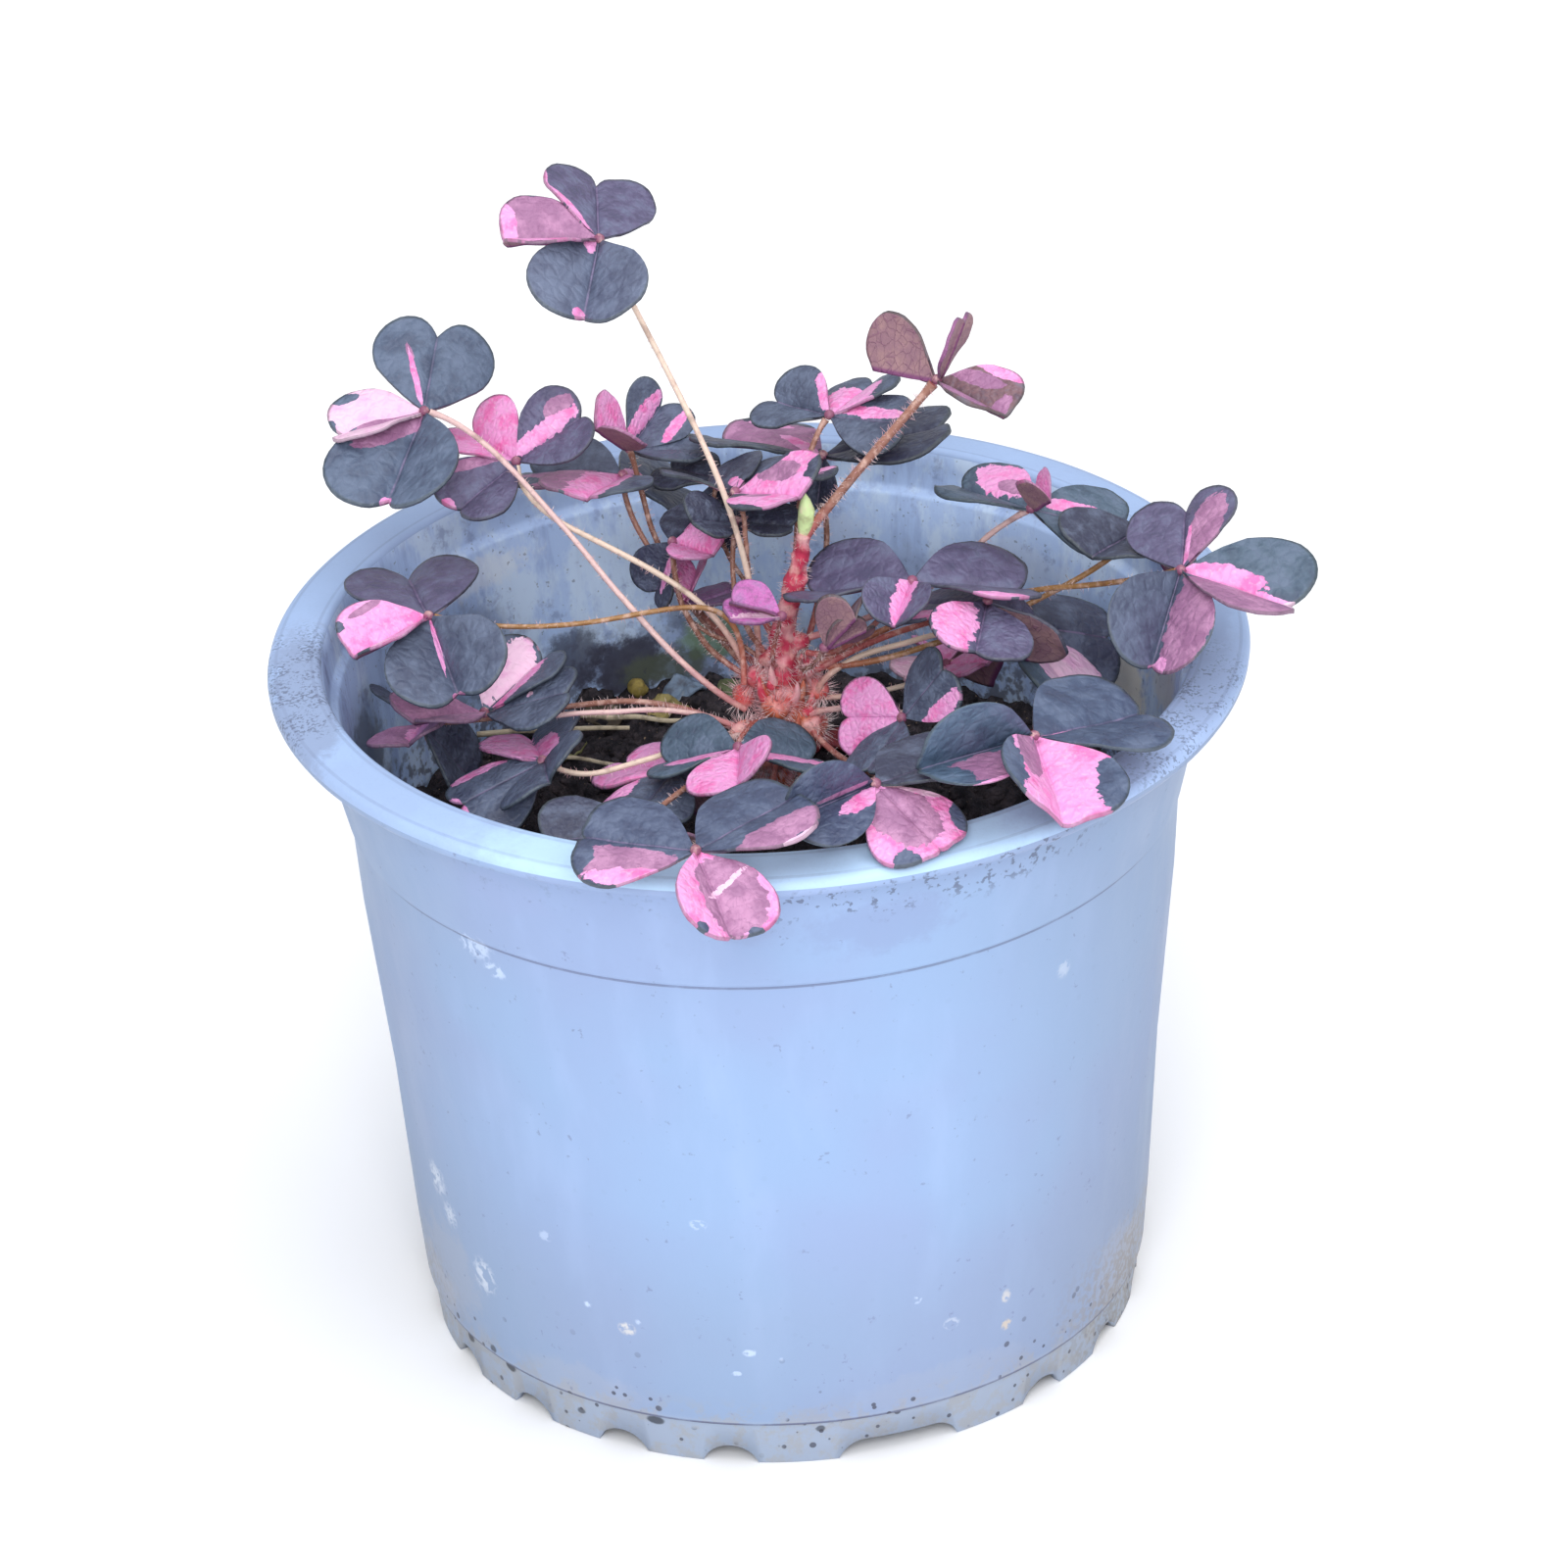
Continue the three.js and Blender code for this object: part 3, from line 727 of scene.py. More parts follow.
OUTSIDE_STAINS = (
    StainOrShade((-42, -20, 15), (8, 11, 9), BEIGE, 0.15),
    StainOrShade((-44.5, -14, 10), (7, 10, 7), BEIGE, 0.2),
    StainOrShade((42, -21, 12), (7, 9, 8), BEIGE, 0.15),
    StainOrShade((44, -16, 10), (5, 8, 8), srgb(176, 166, 150), 0.2),
    StainOrShade((20, -41, 9), (24, 8, 4), BEIGE, 0.08),
    StainOrShade((-26, -37, 8.5), (14, 9, 4), BEIGE, 0.12),
    StainOrShade((-41.5, -20, 28.5), (3.2, 3.8, 3.9), LIME, 0.55, 0.95),
    StainOrShade((-40.3, -22.2, 24.5), (2.4, 3, 3), LIME, 0.5, 0.95),
    StainOrShade((-36.6, -27.6, 18.6), (3, 3.4, 3.9), LIME, 0.55, 0.95),
    StainOrShade((-34.7, -28.8, 5.3), (1.3, 1.3, 0.9), MUD, 0.85, 0.3),
    StainOrShade((-39.9, -21.2, 4.9), (1.2, 1.2, 0.9), MUD, 0.85, 0.3),
    StainOrShade((-16.9, -41.9, 5.2), (1.5, 1.5, 0.8), MUD, 0.85, 0.3),
    StainOrShade((-36.9, -27.5, 7.2), (0.9, 0.9, 0.8), MUD, 0.75, 0.3),
    StainOrShade((-26.1, -36.8, 3.6), (0.8, 0.8, 0.6), MUD, 0.75, 0.3),
    StainOrShade((3.4, -45, 5), (0.8, 0.8, 0.6), MUD, 0.75, 0.3),
    StainOrShade((12, -49, 80), (12, 8, 6), srgb(132, 146, 186), 0.4),
    StainOrShade((-2, -50.5, 81), (7, 7, 3.5), srgb(140, 152, 190), 0.3),
    StainOrShade((-30, -43, 82), (9, 7, 4), srgb(150, 164, 204), 0.25),
    StainOrShade((-35.2, -37.1, 71), (3.8, 3.8, 2.4), CHIP, 0.5, 0.98),
    StainOrShade((-33, -39, 68.4), (2.4, 2.4, 1.4), CHIP, 0.55, 0.9),
    StainOrShade((-15.7, -45.5, 56), (1.7, 1.7, 1.3), CHIP, 0.3, 0.9),
    StainOrShade((-10.3, -46.9, 36.5), (1.5, 1.5, 1.1), CHIP, 0.4),
    StainOrShade((-29, -37.5, 30), (1.4, 1.4, 1.1), CHIP, 0.35),
    StainOrShade((-24.5, -40.5, 21.5), (0.8, 0.8, 0.7), CHIP, 0.6),
    StainOrShade((-19.6, -42.4, 19.2), (1.6, 1.6, 1.3), srgb(228, 222, 212), 0.65),
    StainOrShade((-18, -42.8, 20.6), (0.9, 0.9, 0.8), CHIP, 0.6),
    StainOrShade((15.7, -44.3, 22.9), (0.9, 0.9, 1), CHIP, 0.6),
    StainOrShade((19.8, -42.2, 17.8), (1.5, 1.5, 1.2), LIME, 0.35, 0.9),
    StainOrShade((26.5, -38.3, 18.9), (1.2, 1.2, 1.4), srgb(224, 216, 204), 0.55, 0.8),
    StainOrShade((26.6, -38, 14.5), (1.1, 1.1, 1.1), srgb(214, 196, 170), 0.7),
    StainOrShade((-4.8, -46.3, 17.5), (1.2, 1.2, 0.8), CHIP, 0.55),
    StainOrShade((-1, -46.3, 16.5), (0.6, 0.6, 0.6), CHIP, 0.55),
    StainOrShade((-6.5, -46, 14.3), (1, 1, 0.5), CHIP, 0.5),
    StainOrShade((34.5, -36.5, 64), (1.6, 1.6, 1.8), LIME, 0.3, 0.9),
    StainOrShade((33, 34, 22), (3, 3.6, 3.8), LIME, 0.3, 0.95),
    StainOrShade((-20, 43, 14), (14, 8, 8), BEIGE, 0.12),
    StainOrShade((46.5, 12, 34), (2, 2, 1.6), CHIP, 0.5, 0.9),
    StainOrShade((8, 48.5, 52), (2.6, 2.6, 1.6), CHIP, 0.45, 0.95),
    StainOrShade((-31, 38, 60), (1.8, 1.8, 1.8), CHIP, 0.5, 0.9),
    StainOrShade((-47, 10, 40), (2.2, 2.2, 3), LIME, 0.4, 0.95),
    StainOrShade((22, 44, 78), (9, 6, 4), srgb(138, 150, 188), 0.4),
)

# Patches of painted shade on the lip's top: darkest on the left, lighter on the right and at the
# back.
LIP_SHADE_PATCHES = (
    StainOrShade((-55, -12, 91), (7, 24, 4), srgb(134, 146, 176), 0.6),
    StainOrShade((-46, -34, 91), (12, 10, 4), srgb(156, 176, 212), 0.4),
    StainOrShade((48, -26, 91), (8, 22, 4), srgb(150, 168, 204), 0.2),
    StainOrShade((54, 2, 91), (5, 18, 4), srgb(140, 158, 198), 0.4),
    StainOrShade((0, 57, 91), (44, 9, 4), srgb(150, 172, 214), 0.4),
)

INSIDE_STAINS = (
    StainOrShade((0, 50, 64), (46, 16, 6), srgb(126, 140, 172), 0.4),
    StainOrShade((-17, 46.2, 63.1), (8, 6, 5.5), ALGAE, 0.95),
    StainOrShade((-24, 43.5, 66), (6, 6, 5), ALGAE, 0.8),
    StainOrShade((-10, 48, 70), (3, 6, 4), srgb(92, 100, 124), 0.6),
    StainOrShade((-6, 49.2, 65.3), (5, 6, 4.5), srgb(120, 146, 112), 0.8),
    StainOrShade((-12, 48, 62), (9, 6, 3), srgb(84, 92, 78), 0.8),
    StainOrShade((46, 19.5, 71.5), (6, 9, 7), srgb(232, 228, 214), 0.85),
    StainOrShade((50.3, 8.3, 79), (6, 8, 7), srgb(214, 216, 214), 0.7),
    StainOrShade((42.6, 25.4, 65.6), (6, 6, 6), srgb(206, 194, 170), 0.85),
    StainOrShade((-50, 8, 72), (6, 12, 8), srgb(84, 86, 100), 0.7),
    StainOrShade((-36, 35, 72), (9, 9, 9), srgb(128, 140, 172), 0.6),
    StainOrShade((-36, 37, 82), (12, 9, 3), LIME, 0.45, 0.9),
    StainOrShade((20, 47, 74), (9, 6, 6), srgb(140, 152, 184), 0.45),
    StainOrShade((8, 50, 80), (9, 6, 4), HAZE, 0.6, 0.9),
    StainOrShade((34, 38, 80), (9, 9, 4), HAZE, 0.6, 0.9),
    StainOrShade((0, -50, 72), (40, 10, 14), srgb(96, 96, 110), 0.5),
)


# Thin dark level lines, as [height on the wall, width, share], in millimetres: painted shadow under
# the seam's step at 71.7 and, with some dirt, under the lip at 87.0; a dark line on the foot's
# ledge at 6.2.
WALL_LINES = ((71.7, 0.35, 0.6), (6.2, 0.5, 0.85), (87.0, 0.4, 0.6))

# The same on the lip's top, as [radius, width, share].
LIP_LINES = ((54.5, 0.3, 0.2), (58.9, 0.3, 0.2))

# How far to the side, in metres, the wall starts to darken and where it is darkest.
SIDE_TURN = (0.012, 0.058)


@dataclass(frozen=True)
class DirtPatterns:
    """The patterns that dirt on the pot follows, from coarse to very fine."""

    ragged: Socket
    fine: Socket
    grit: Socket


@dataclass(frozen=True)
class PotFinish:
    """Matte lavender blue plastic with the dirt of use, and painted light and shade."""

    zone: PotZone
    clean: Colour = srgb(146, 172, 210)
    lilac: Colour = srgb(147, 166, 205)
    bloom: Colour = srgb(164, 186, 224)
    line: Colour = srgb(92, 96, 124)
    grit: Colour = srgb(62, 62, 76)
    side_shade: Colour = srgb(122, 132, 150)
    low_shade: Colour = srgb(130, 140, 158)
    foot: Colour = srgb(172, 182, 196)
    dust: Colour = srgb(168, 158, 140)
    grime: Colour = srgb(140, 134, 128)
    scuff: Colour = srgb(110, 118, 152)
    lip_light: Colour = srgb(172, 196, 236)
    lip_front_highlight: Colour = srgb(186, 220, 250)
    inner_painted_light: Colour = srgb(188, 214, 255)
    scrape: Colour = srgb(146, 168, 214)
    smear: Colour = srgb(212, 232, 255)
    cloud: Colour = srgb(128, 144, 186)
    splash: Colour = srgb(82, 78, 86)

    def build(self) -> bpy.types.Material:
        """Makes the material for the zone.

        Returns:
            The material.
        """
        s = Shading(f"pot_{self.zone.name.lower()}", 0.5, 0.35)
        cloud = s.noise(s.at(), 24.0, 3.0)
        haze = s.noise(s.vector("MULTIPLY", s.at(), (1.0, 1.0, 0.3)), 110.0, 4.0)
        dirt = DirtPatterns(
            ragged=s.noise(s.at(), 260.0, 6.0, 0.7),
            fine=s.noise(s.at(), 700.0, 4.0),
            grit=s.noise(s.at(), 1100.0, 2.0),
        )
        colour = s.tinted(self.clean, self.lilac, cloud, 0.38, 0.64, 0.9)
        colour = s.tinted(colour, self.bloom, haze, 0.48, 0.75, 0.4)
        dressed = {
            PotZone.OUTSIDE: self.outside, PotZone.LIP: self.lip, PotZone.INSIDE: self.inside,
        }
        colour = dressed[self.zone](s, colour, dirt)
        normal = s.bump(s.math("MULTIPLY_ADD", haze, 0.5, dirt.fine), 0.0002, 0.25)
        return s.done(colour, normal, s.ramp(haze, 0.3, 0.7, 0.42, 0.6))

    @staticmethod
    def stained_and_shaded(
        s: Shading, colour: object, stains: tuple[StainOrShade, ...], dirt: DirtPatterns
    ) -> Socket:
        """A colour with stains and patches of painted shade laid over it.

        Args:
            s: The material being made.
            colour: The colour so far.
            patches: The stains and patches of painted shade, the last on top.
            dirt: The patterns that eat into their edges.

        Returns:
            The colour with them laid over it.
        """
        broken = s.ramp(dirt.fine, 0.4, 0.54)
        for patch in stains:
            small = max(patch.radii) < CHIP_RADIUS
            edge = dirt.fine if small else dirt.ragged
            mask = s.spot(patch.centre, patch.radii, edge, patch.reach)
            if small and patch.reach > WHOLE_REACH:
                mask = s.product(mask, broken)
            colour = s.masked(colour, patch.tint, mask, patch.share)
        return colour

    def lined(
        self,
        s: Shading,
        colour: object,
        where: Socket,
        lines: tuple[Triple, ...],
        dirt: DirtPatterns,
    ) -> Socket:
        """A colour with thin dark level lines over it, some of them painted shadow.

        Args:
            s: The material being made.
            colour: The colour so far.
            where: The height or radius that the lines are level in.
            lines: Level and width in millimetres, and share, of each line.
            dirt: The patterns that break them.

        Returns:
            The lined colour.
        """
        for level, width, share in lines:
            mask = s.effect(LevelLine, where, level * MM, width * MM, dirt.ragged)[0]
            colour = s.masked(colour, self.line, mask, share)
        return colour

    def outside(self, s: Shading, colour: object, dirt: DirtPatterns) -> Socket:
        """Painted side and low shade, dust, stains, and thin dark lines, two of them painted
        shadow, on the outer wall.

        Args:
            s: The material being made.
            colour: The colour so far.
            dirt: The patterns of the dirt.

        Returns:
            The dirtied colour.
        """
        x, _, z = s.split(s.at())
        side = s.ramp(s.math("ABSOLUTE", s.math("ADD", x, 0.0076)), *SIDE_TURN)
        colour = s.masked(colour, self.side_shade, side, 0.36)
        colour = s.masked(colour, self.low_shade, s.fade(z, 0.008, 0.05), 0.36)
        colour = s.masked(colour, self.foot, s.fade(z, 0.0055, 0.0075), 0.6)
        dusty = s.product(s.fade(z, 0.0055, 0.012), s.ramp(dirt.ragged, 0.45, 0.6))
        colour = s.masked(colour, self.dust, dusty, 0.35)
        colour = self.stained_and_shaded(s, colour, OUTSIDE_STAINS, dirt)
        caked = s.product(s.fade(z, 0.009, 0.022), s.ramp(side, 0.4, 0.9))
        caked = s.product(caked, s.ramp(dirt.grit, 0.4, 0.58))
        colour = s.masked(colour, self.grime, caked, 0.7)
        colour = self.lined(s, colour, z, WALL_LINES, dirt)
        return self.specked(s, colour, z, dirt)

    def specked(self, s: Shading, colour: object, z: Socket, dirt: DirtPatterns) -> Socket:
        """Specks under the lip and over the foot, and scuffs all over the wall.

        Args:
            s: The material being made.
            colour: The colour so far.
            z: The height.
            dirt: The patterns of the dirt.

        Returns:
            The specked colour.
        """
        front = s.spot((22.0, -50.0, 84.0), (40.0, 20.0, 16.0), dirt.ragged, 0.3)
        under = s.product(s.ramp(z, 0.079, 0.0845), s.ramp(dirt.ragged, 0.45, 0.56))
        under = s.product(under, s.ramp(dirt.grit, 0.52, 0.6), s.math("MAXIMUM", front, 0.25))
        colour = s.masked(colour, self.grit, under, 0.6)
        patches = s.noise(s.at(), 90.0, 2.0)
        dots = s.fade(s.cells(s.at(), 300.0), 0.11, 0.15)
        dots = s.product(dots, s.ramp(z, 0.007, 0.02, 1.0, 0.12))
        colour = s.masked(colour, self.grit, s.product(dots, s.ramp(patches, 0.4, 0.5)), 0.8)
        fine = s.product(s.fade(s.cells(s.at(), 520.0), 0.14, 0.18), s.fade(z, 0.008, 0.014))
        colour = s.masked(colour, self.grit, s.product(fine, s.ramp(patches, 0.44, 0.54)), 0.8)
        scuffs = s.product(s.ramp(dirt.grit, 0.62, 0.7), s.ramp(dirt.ragged, 0.52, 0.62))
        return s.masked(colour, self.scuff, scuffs, 0.5)

    def lip(self, s: Shading, colour: object, dirt: DirtPatterns) -> Socket:
        """Paler top of the lip, with a painted highlight at its front, patches of painted shade on
        its sides and back, and dirt caught on it.

        Args:
            s: The material being made.
            colour: The colour so far.
            dirt: The patterns of the dirt.

        Returns:
            The dirtied colour.
        """
        colour = s.mix(0.6, colour, self.lip_light)
        # Painted highlight: the front of the lip is lightened where the light falls on it.
        front = s.spot((0.0, -56.0, 91.0), (50.0, 24.0, 40.0), dirt.ragged, 0.3)
        colour = s.masked(colour, self.lip_front_highlight, front, 0.75)
        colour = self.stained_and_shaded(s, colour, LIP_SHADE_PATCHES, dirt)
        left = s.spot((-56.0, -8.0, 91.0), (12.0, 22.0, 40.0), dirt.ragged, 0.4)
        right = s.spot((50.0, -24.0, 91.0), (16.0, 26.0, 40.0), dirt.ragged, 0.4)
        sides = s.math("MAXIMUM", s.math("MAXIMUM", left, right), 0.15)
        dust = s.ramp(s.noise(s.at(), 2300.0, 2.0), 0.48, 0.6)
        caught = s.product(s.ramp(dirt.ragged, 0.4, 0.56), sides, dust)
        colour = s.masked(colour, self.grit, caught, 0.55)
        crumbs = s.product(s.ramp(dirt.grit, 0.7, 0.76), s.ramp(dirt.fine, 0.6, 0.7))
        colour = s.masked(colour, self.grit, crumbs, 0.4)
        out = s.vector("SUBTRACT", s.at(), tuple(POT_AXIS * MM))
        radius = s.vector("LENGTH", s.vector("MULTIPLY", out, (1.0, 1.0, 0.0)))
        return self.lined(s, colour, radius, LIP_LINES, dirt)

    def inside(self, s: Shading, colour: object, dirt: DirtPatterns) -> Socket:
        """Inner wall lightened with painted light, and stained with lime, algae and soil splash.

        Args:
            s: The material being made.
            colour: The colour so far.
            dirt: The patterns of the dirt.

        Returns:
            The lightened, stained colour.
        """
        scrape = s.noise(s.vector("MULTIPLY", s.at(), (1.0, 1.0, 0.12)), 330.0, 4.0, 0.7)
        smear = s.noise(s.vector("MULTIPLY", s.at(), (1.0, 1.0, 0.5)), 120.0, 5.0, 0.7)
        # Painted light: the inner wall is mixed far towards a light blue, to stand in for light
        # reaching into the pot.
        colour = s.mix(0.8, colour, self.inner_painted_light)
        colour = s.tinted(colour, self.scrape, scrape, 0.46, 0.66, 0.55)
        colour = s.tinted(colour, self.smear, smear, 0.46, 0.6, 0.7)
        colour = s.tinted(colour, self.cloud, dirt.ragged, 0.54, 0.68, 0.6)
        _, _, z = s.split(s.at())
        splash = s.product(s.fade(z, 0.060, 0.074), s.ramp(dirt.fine, 0.42, 0.6))
        colour = s.masked(colour, self.splash, splash, 0.75)
        colour = self.stained_and_shaded(s, colour, INSIDE_STAINS, dirt)
        return s.tinted(colour, self.grit, dirt.grit, 0.66, 0.72, 0.45)


# ---- Pot ----


@dataclass
class Pot:
    """The round nursery pot: tapered wall, rolled lip, scalloped foot."""

    steps: int = 240
    notches: int = 20
    first_notch: float = -10.0
    broken_pad: tuple[float, float] = (11.5, 22.5)
    notch_radius: float = 3.6
    notch_centre: tuple[float, float] = (44.3, -1.0)
    notch_depth: float = 4.0
    hole_count: int = 8
    hole_radius: float = 3.5
    hole_circle: float = 30.0
    hole_centre: float = 6.3
    hole_depth: float = 6.0
    lip_from: float = 90.0
    floor_from: float = 5.5
    floor_to: float = 8.0
    foot: tuple[tuple[float, float], ...] = (
        (0.0, 5.0), (43.2, 5.0), (43.4, 4.8), (43.4, 0.2), (43.6, 0.0), (44.6, 0.0),
        (44.8, 0.2), (45.15, 5.8), (45.35, 6.05), (45.75, 6.2), (45.85, 6.5),
    )
    wall: tuple[tuple[float, float], ...] = (
        (46.5, 14.0), (47.2, 24.0), (48.0, 36.0), (49.2, 48.0), (50.4, 60.0),
        (51.15, 71.6), (51.25, 71.85), (51.55, 72.05), (51.65, 72.4), (52.6, 76.5),
        (53.7, 81.0), (54.6, 85.0), (55.3, 86.7), (56.2, 87.6), (57.6, 88.1),
        (59.0, 88.4), (59.6, 88.7), (59.92, 89.2), (60.0, 89.8),
    )
    lip: tuple[tuple[float, float], ...] = (
        (59.85, 90.35), (59.4, 90.8), (58.6, 91.05), (57.0, 91.2), (55.2, 91.4), (54.2, 91.5),
        (53.7, 91.35),
    )
    inner: tuple[tuple[float, float], ...] = (
        (53.35, 90.9), (53.0, 89.0), (52.65, 86.4), (52.45, 85.9), (51.8, 85.4), (51.5, 85.0),
        (50.9, 79.5), (50.0, 72.0), (49.1, 60.0), (47.8, 44.0), (46.4, 24.0), (44.4, 8.0),
        (43.4, 6.4), (0.0, 6.3),
    )

    def build(self) -> None:
        """Makes the pot and dresses it."""
        bm = bmesh.new()
        profile = [*self.foot, *self.wall, *self.lip, *self.inner]
        ring = [bm.verts.new(place(r, 0.0, z)) for r, z in profile]
        edges = [bm.edges.new(pair) for pair in zip(ring, ring[1:])]
        bmesh.ops.spin(
            bm,
            geom=[*ring, *edges],
            cent=place(0.0, 0.0, 0.0),
            axis=(0.0, 0.0, 1.0),
            angle=math.tau,
            steps=self.steps,
            use_merge=True,
        )
        bmesh.ops.remove_doubles(bm, verts=bm.verts, dist=1e-6)
        bmesh.ops.recalc_face_normals(bm, faces=bm.faces)
        self.zone_faces(bm)
        body = holder_of(mesh_of(bm, "pot_body"))
        cutter = holder_of(self.cutter())
        cut = body.modifiers.new("foot", "BOOLEAN")
        cut.operation = "DIFFERENCE"
        cut.solver = "EXACT"
        cut.object = cutter
        done = bmesh.new()
        add_mesh(done, evaluated(body))
        for helper in (body, cutter):
            bpy.data.meshes.remove(helper.data)
        materials = [PotFinish(zone).build() for zone in PotZone]
        finish_piece("nursery_pot", done, materials, ("pot",))

    def zone_faces(self, bm: bmesh.types.BMesh) -> None:
        """Gives each face the material of its zone.

        Args:
            bm: The turned pot.
        """
        axis = place(0.0, 0.0, 0.0)
        for face in bm.faces:
            centre = face.calc_center_median()
            out = Vector((centre.x - axis.x, centre.y - axis.y, 0.0))
            inner_wall = face.normal.dot(out) < 0 and centre.z > self.floor_from * MM
            floor = face.normal.z > 0.9 and centre.z < self.floor_to * MM
            zone = PotZone.OUTSIDE
            if centre.z > self.lip_from * MM and face.normal.z > 0.25:
                zone = PotZone.LIP
            elif inner_wall or floor:
                zone = PotZone.INSIDE
            face.material_index = zone.value

    @staticmethod
    def rod(bm: bmesh.types.BMesh, radius: float, depth: float) -> list[bmesh.types.BMVert]:
        """Adds an upright cutting rod at the origin and gives its vertices."""
        wide = radius * MM
        made = bmesh.ops.create_cone(
            bm, cap_ends=True, segments=40, radius1=wide, radius2=wide, depth=depth * MM
        )
        return made["verts"]

    def cutter(self) -> bpy.types.Mesh:
        """The bodies that cut the foot's scallops and the drain holes.

        Returns:
            The cutter's mesh.
        """
        bm = bmesh.new()
        even = [self.first_notch + index * 360 / self.notches for index in range(self.notches)]
        away, up = self.notch_centre
        for start, end in (*((at, at) for at in (even[0], *even[3:])), self.broken_pad):
            verts = self.rod(bm, self.notch_radius, self.notch_depth)
            bmesh.ops.rotate(bm, verts=verts, matrix=Matrix.Rotation(math.pi / 2, 3, "X"))
            bmesh.ops.translate(bm, verts=verts, vec=(0.0, -away * MM, up * MM))
            for vert in verts:
                turn = math.radians(end if vert.co.x > 1e-6 else start)
                vert.co.rotate(Matrix.Rotation(turn, 3, "Z"))
        for index in range(self.hole_count):
            turn = index / self.hole_count * math.tau
            verts = self.rod(bm, self.hole_radius, self.hole_depth)
            x, y = math.cos(turn) * self.hole_circle, math.sin(turn) * self.hole_circle
            bmesh.ops.translate(bm, verts=verts, vec=Vector((x, y, self.hole_centre)) * MM)
        bmesh.ops.translate(bm, verts=bm.verts, vec=POT_AXIS * MM)
        return mesh_of(bm, "foot_cutter")


# ---- Soil and what lies on it ----


def soil_height(x: float, y: float) -> float:
    """Height of the soil's surface in millimetres.

    Args:
        x: Place from the pot's axis, in millimetres.
        y: Place from the pot's axis, in millimetres.

    Returns:
        The height above the pot's foot.
    """
    lump = math.sin(x * 0.41 + 1.3) * math.cos(y * 0.37) + 0.7 * math.sin(x * 0.9 + y * 0.8)
    rough = noise.noise(Vector((x * 0.35, y * 0.35, 1.7)))
    fine = noise.noise(Vector((x * 1.3, y * 1.3, 4.1)))
    return 60.0 + 0.8 * lump + 1.1 * rough + 0.55 * fine


@dataclass
class Soil:
    """Crumbly soil that fills the pot to about two thirds."""

    radius: float = 48.6
    foot: tuple[float, float] = (43.0, 6.7)
    rings: int = 130
    crumbs: int = 1700
    crumb_sizes: tuple[float, ...] = (0.35, 0.5, 0.7, 0.7, 1.0, 1.4)
    seed: int = 7

    def build(self) -> None:
        """Makes the soil's body and its loose crumbs."""
        bm = bmesh.new()
        bmesh.ops.create_grid(
            bm, x_segments=self.rings, y_segments=self.rings, size=self.radius * MM
        )
        for vert in bm.verts:
            x, y = vert.co.x / MM, vert.co.y / MM
            reach = max(abs(x), abs(y)) / self.radius
            length = math.hypot(x, y)
            if length > 0:
                x, y = (c / length * reach * self.radius for c in (x, y))
            vert.co = place(x, y, soil_height(x, y))
        rim = [edge for edge in bm.edges if edge.is_boundary]
        made = bmesh.ops.extrude_edge_only(bm, edges=rim)
        low = [item for item in made["geom"] if isinstance(item, bmesh.types.BMVert)]
        axis = place(0.0, 0.0, 0.0)
        radius, height = self.foot
        for vert in low:
            out = (vert.co - axis) * Vector((1.0, 1.0, 0.0))
            vert.co = axis + out.normalized() * radius * MM + Vector((0.0, 0.0, height * MM))
        bmesh.ops.contextual_create(bm, geom=[edge for edge in bm.edges if edge.is_boundary])
        bmesh.ops.recalc_face_normals(bm, faces=bm.faces)
        self.add_crumbs(bm)
        finish_piece("potting_soil", bm, [SoilFinish().build()], ("soil",))

    def add_crumbs(self, bm: bmesh.types.BMesh) -> None:
        """Scatters crumbs evenly over the surface.

        Args:
            bm: The soil to add them to.
        """
        draw = random.Random(self.seed)
        crumb = bmesh.new()
        bmesh.ops.create_icosphere(crumb, subdivisions=1, radius=1.0)
        shape = mesh_of(crumb, "crumb")
        for _ in range(self.crumbs):
            turn = draw.uniform(0, math.tau)
            reach = self.radius * math.sqrt(draw.uniform(0.0, 0.97))
            x, y = reach * math.cos(turn), reach * math.sin(turn)
            size = draw.choice(self.crumb_sizes) * draw.uniform(0.7, 1.2)
            longer, wider, taller = ((0.8, 1.5), (0.7, 1.1), (0.5, 0.9))
            stretch = Vector([draw.uniform(*limits) for limits in (longer, wider, taller)])
            grown = shape.copy()
            spin = Matrix.Rotation(draw.uniform(0, math.tau), 4, "Z")
            tilt = Matrix.Rotation(draw.uniform(-0.5, 0.5), 4, "X")
            scale = Matrix.Diagonal((*(stretch * size * MM), 1.0))
            lift = Matrix.Translation(place(x, y, soil_height(x, y) + 0.15 * size))
            grown.transform(lift @ spin @ tilt @ scale)
            add_mesh(bm, grown)
        bpy.data.meshes.remove(shape)


@dataclass(frozen=True)
class Scrap:
    """A fallen leaf on the soil: place, half sizes and turn in degrees."""

    x: float
    y: float
    length: float
    width: float
    turn: float
    curl: float
    tint: Colour


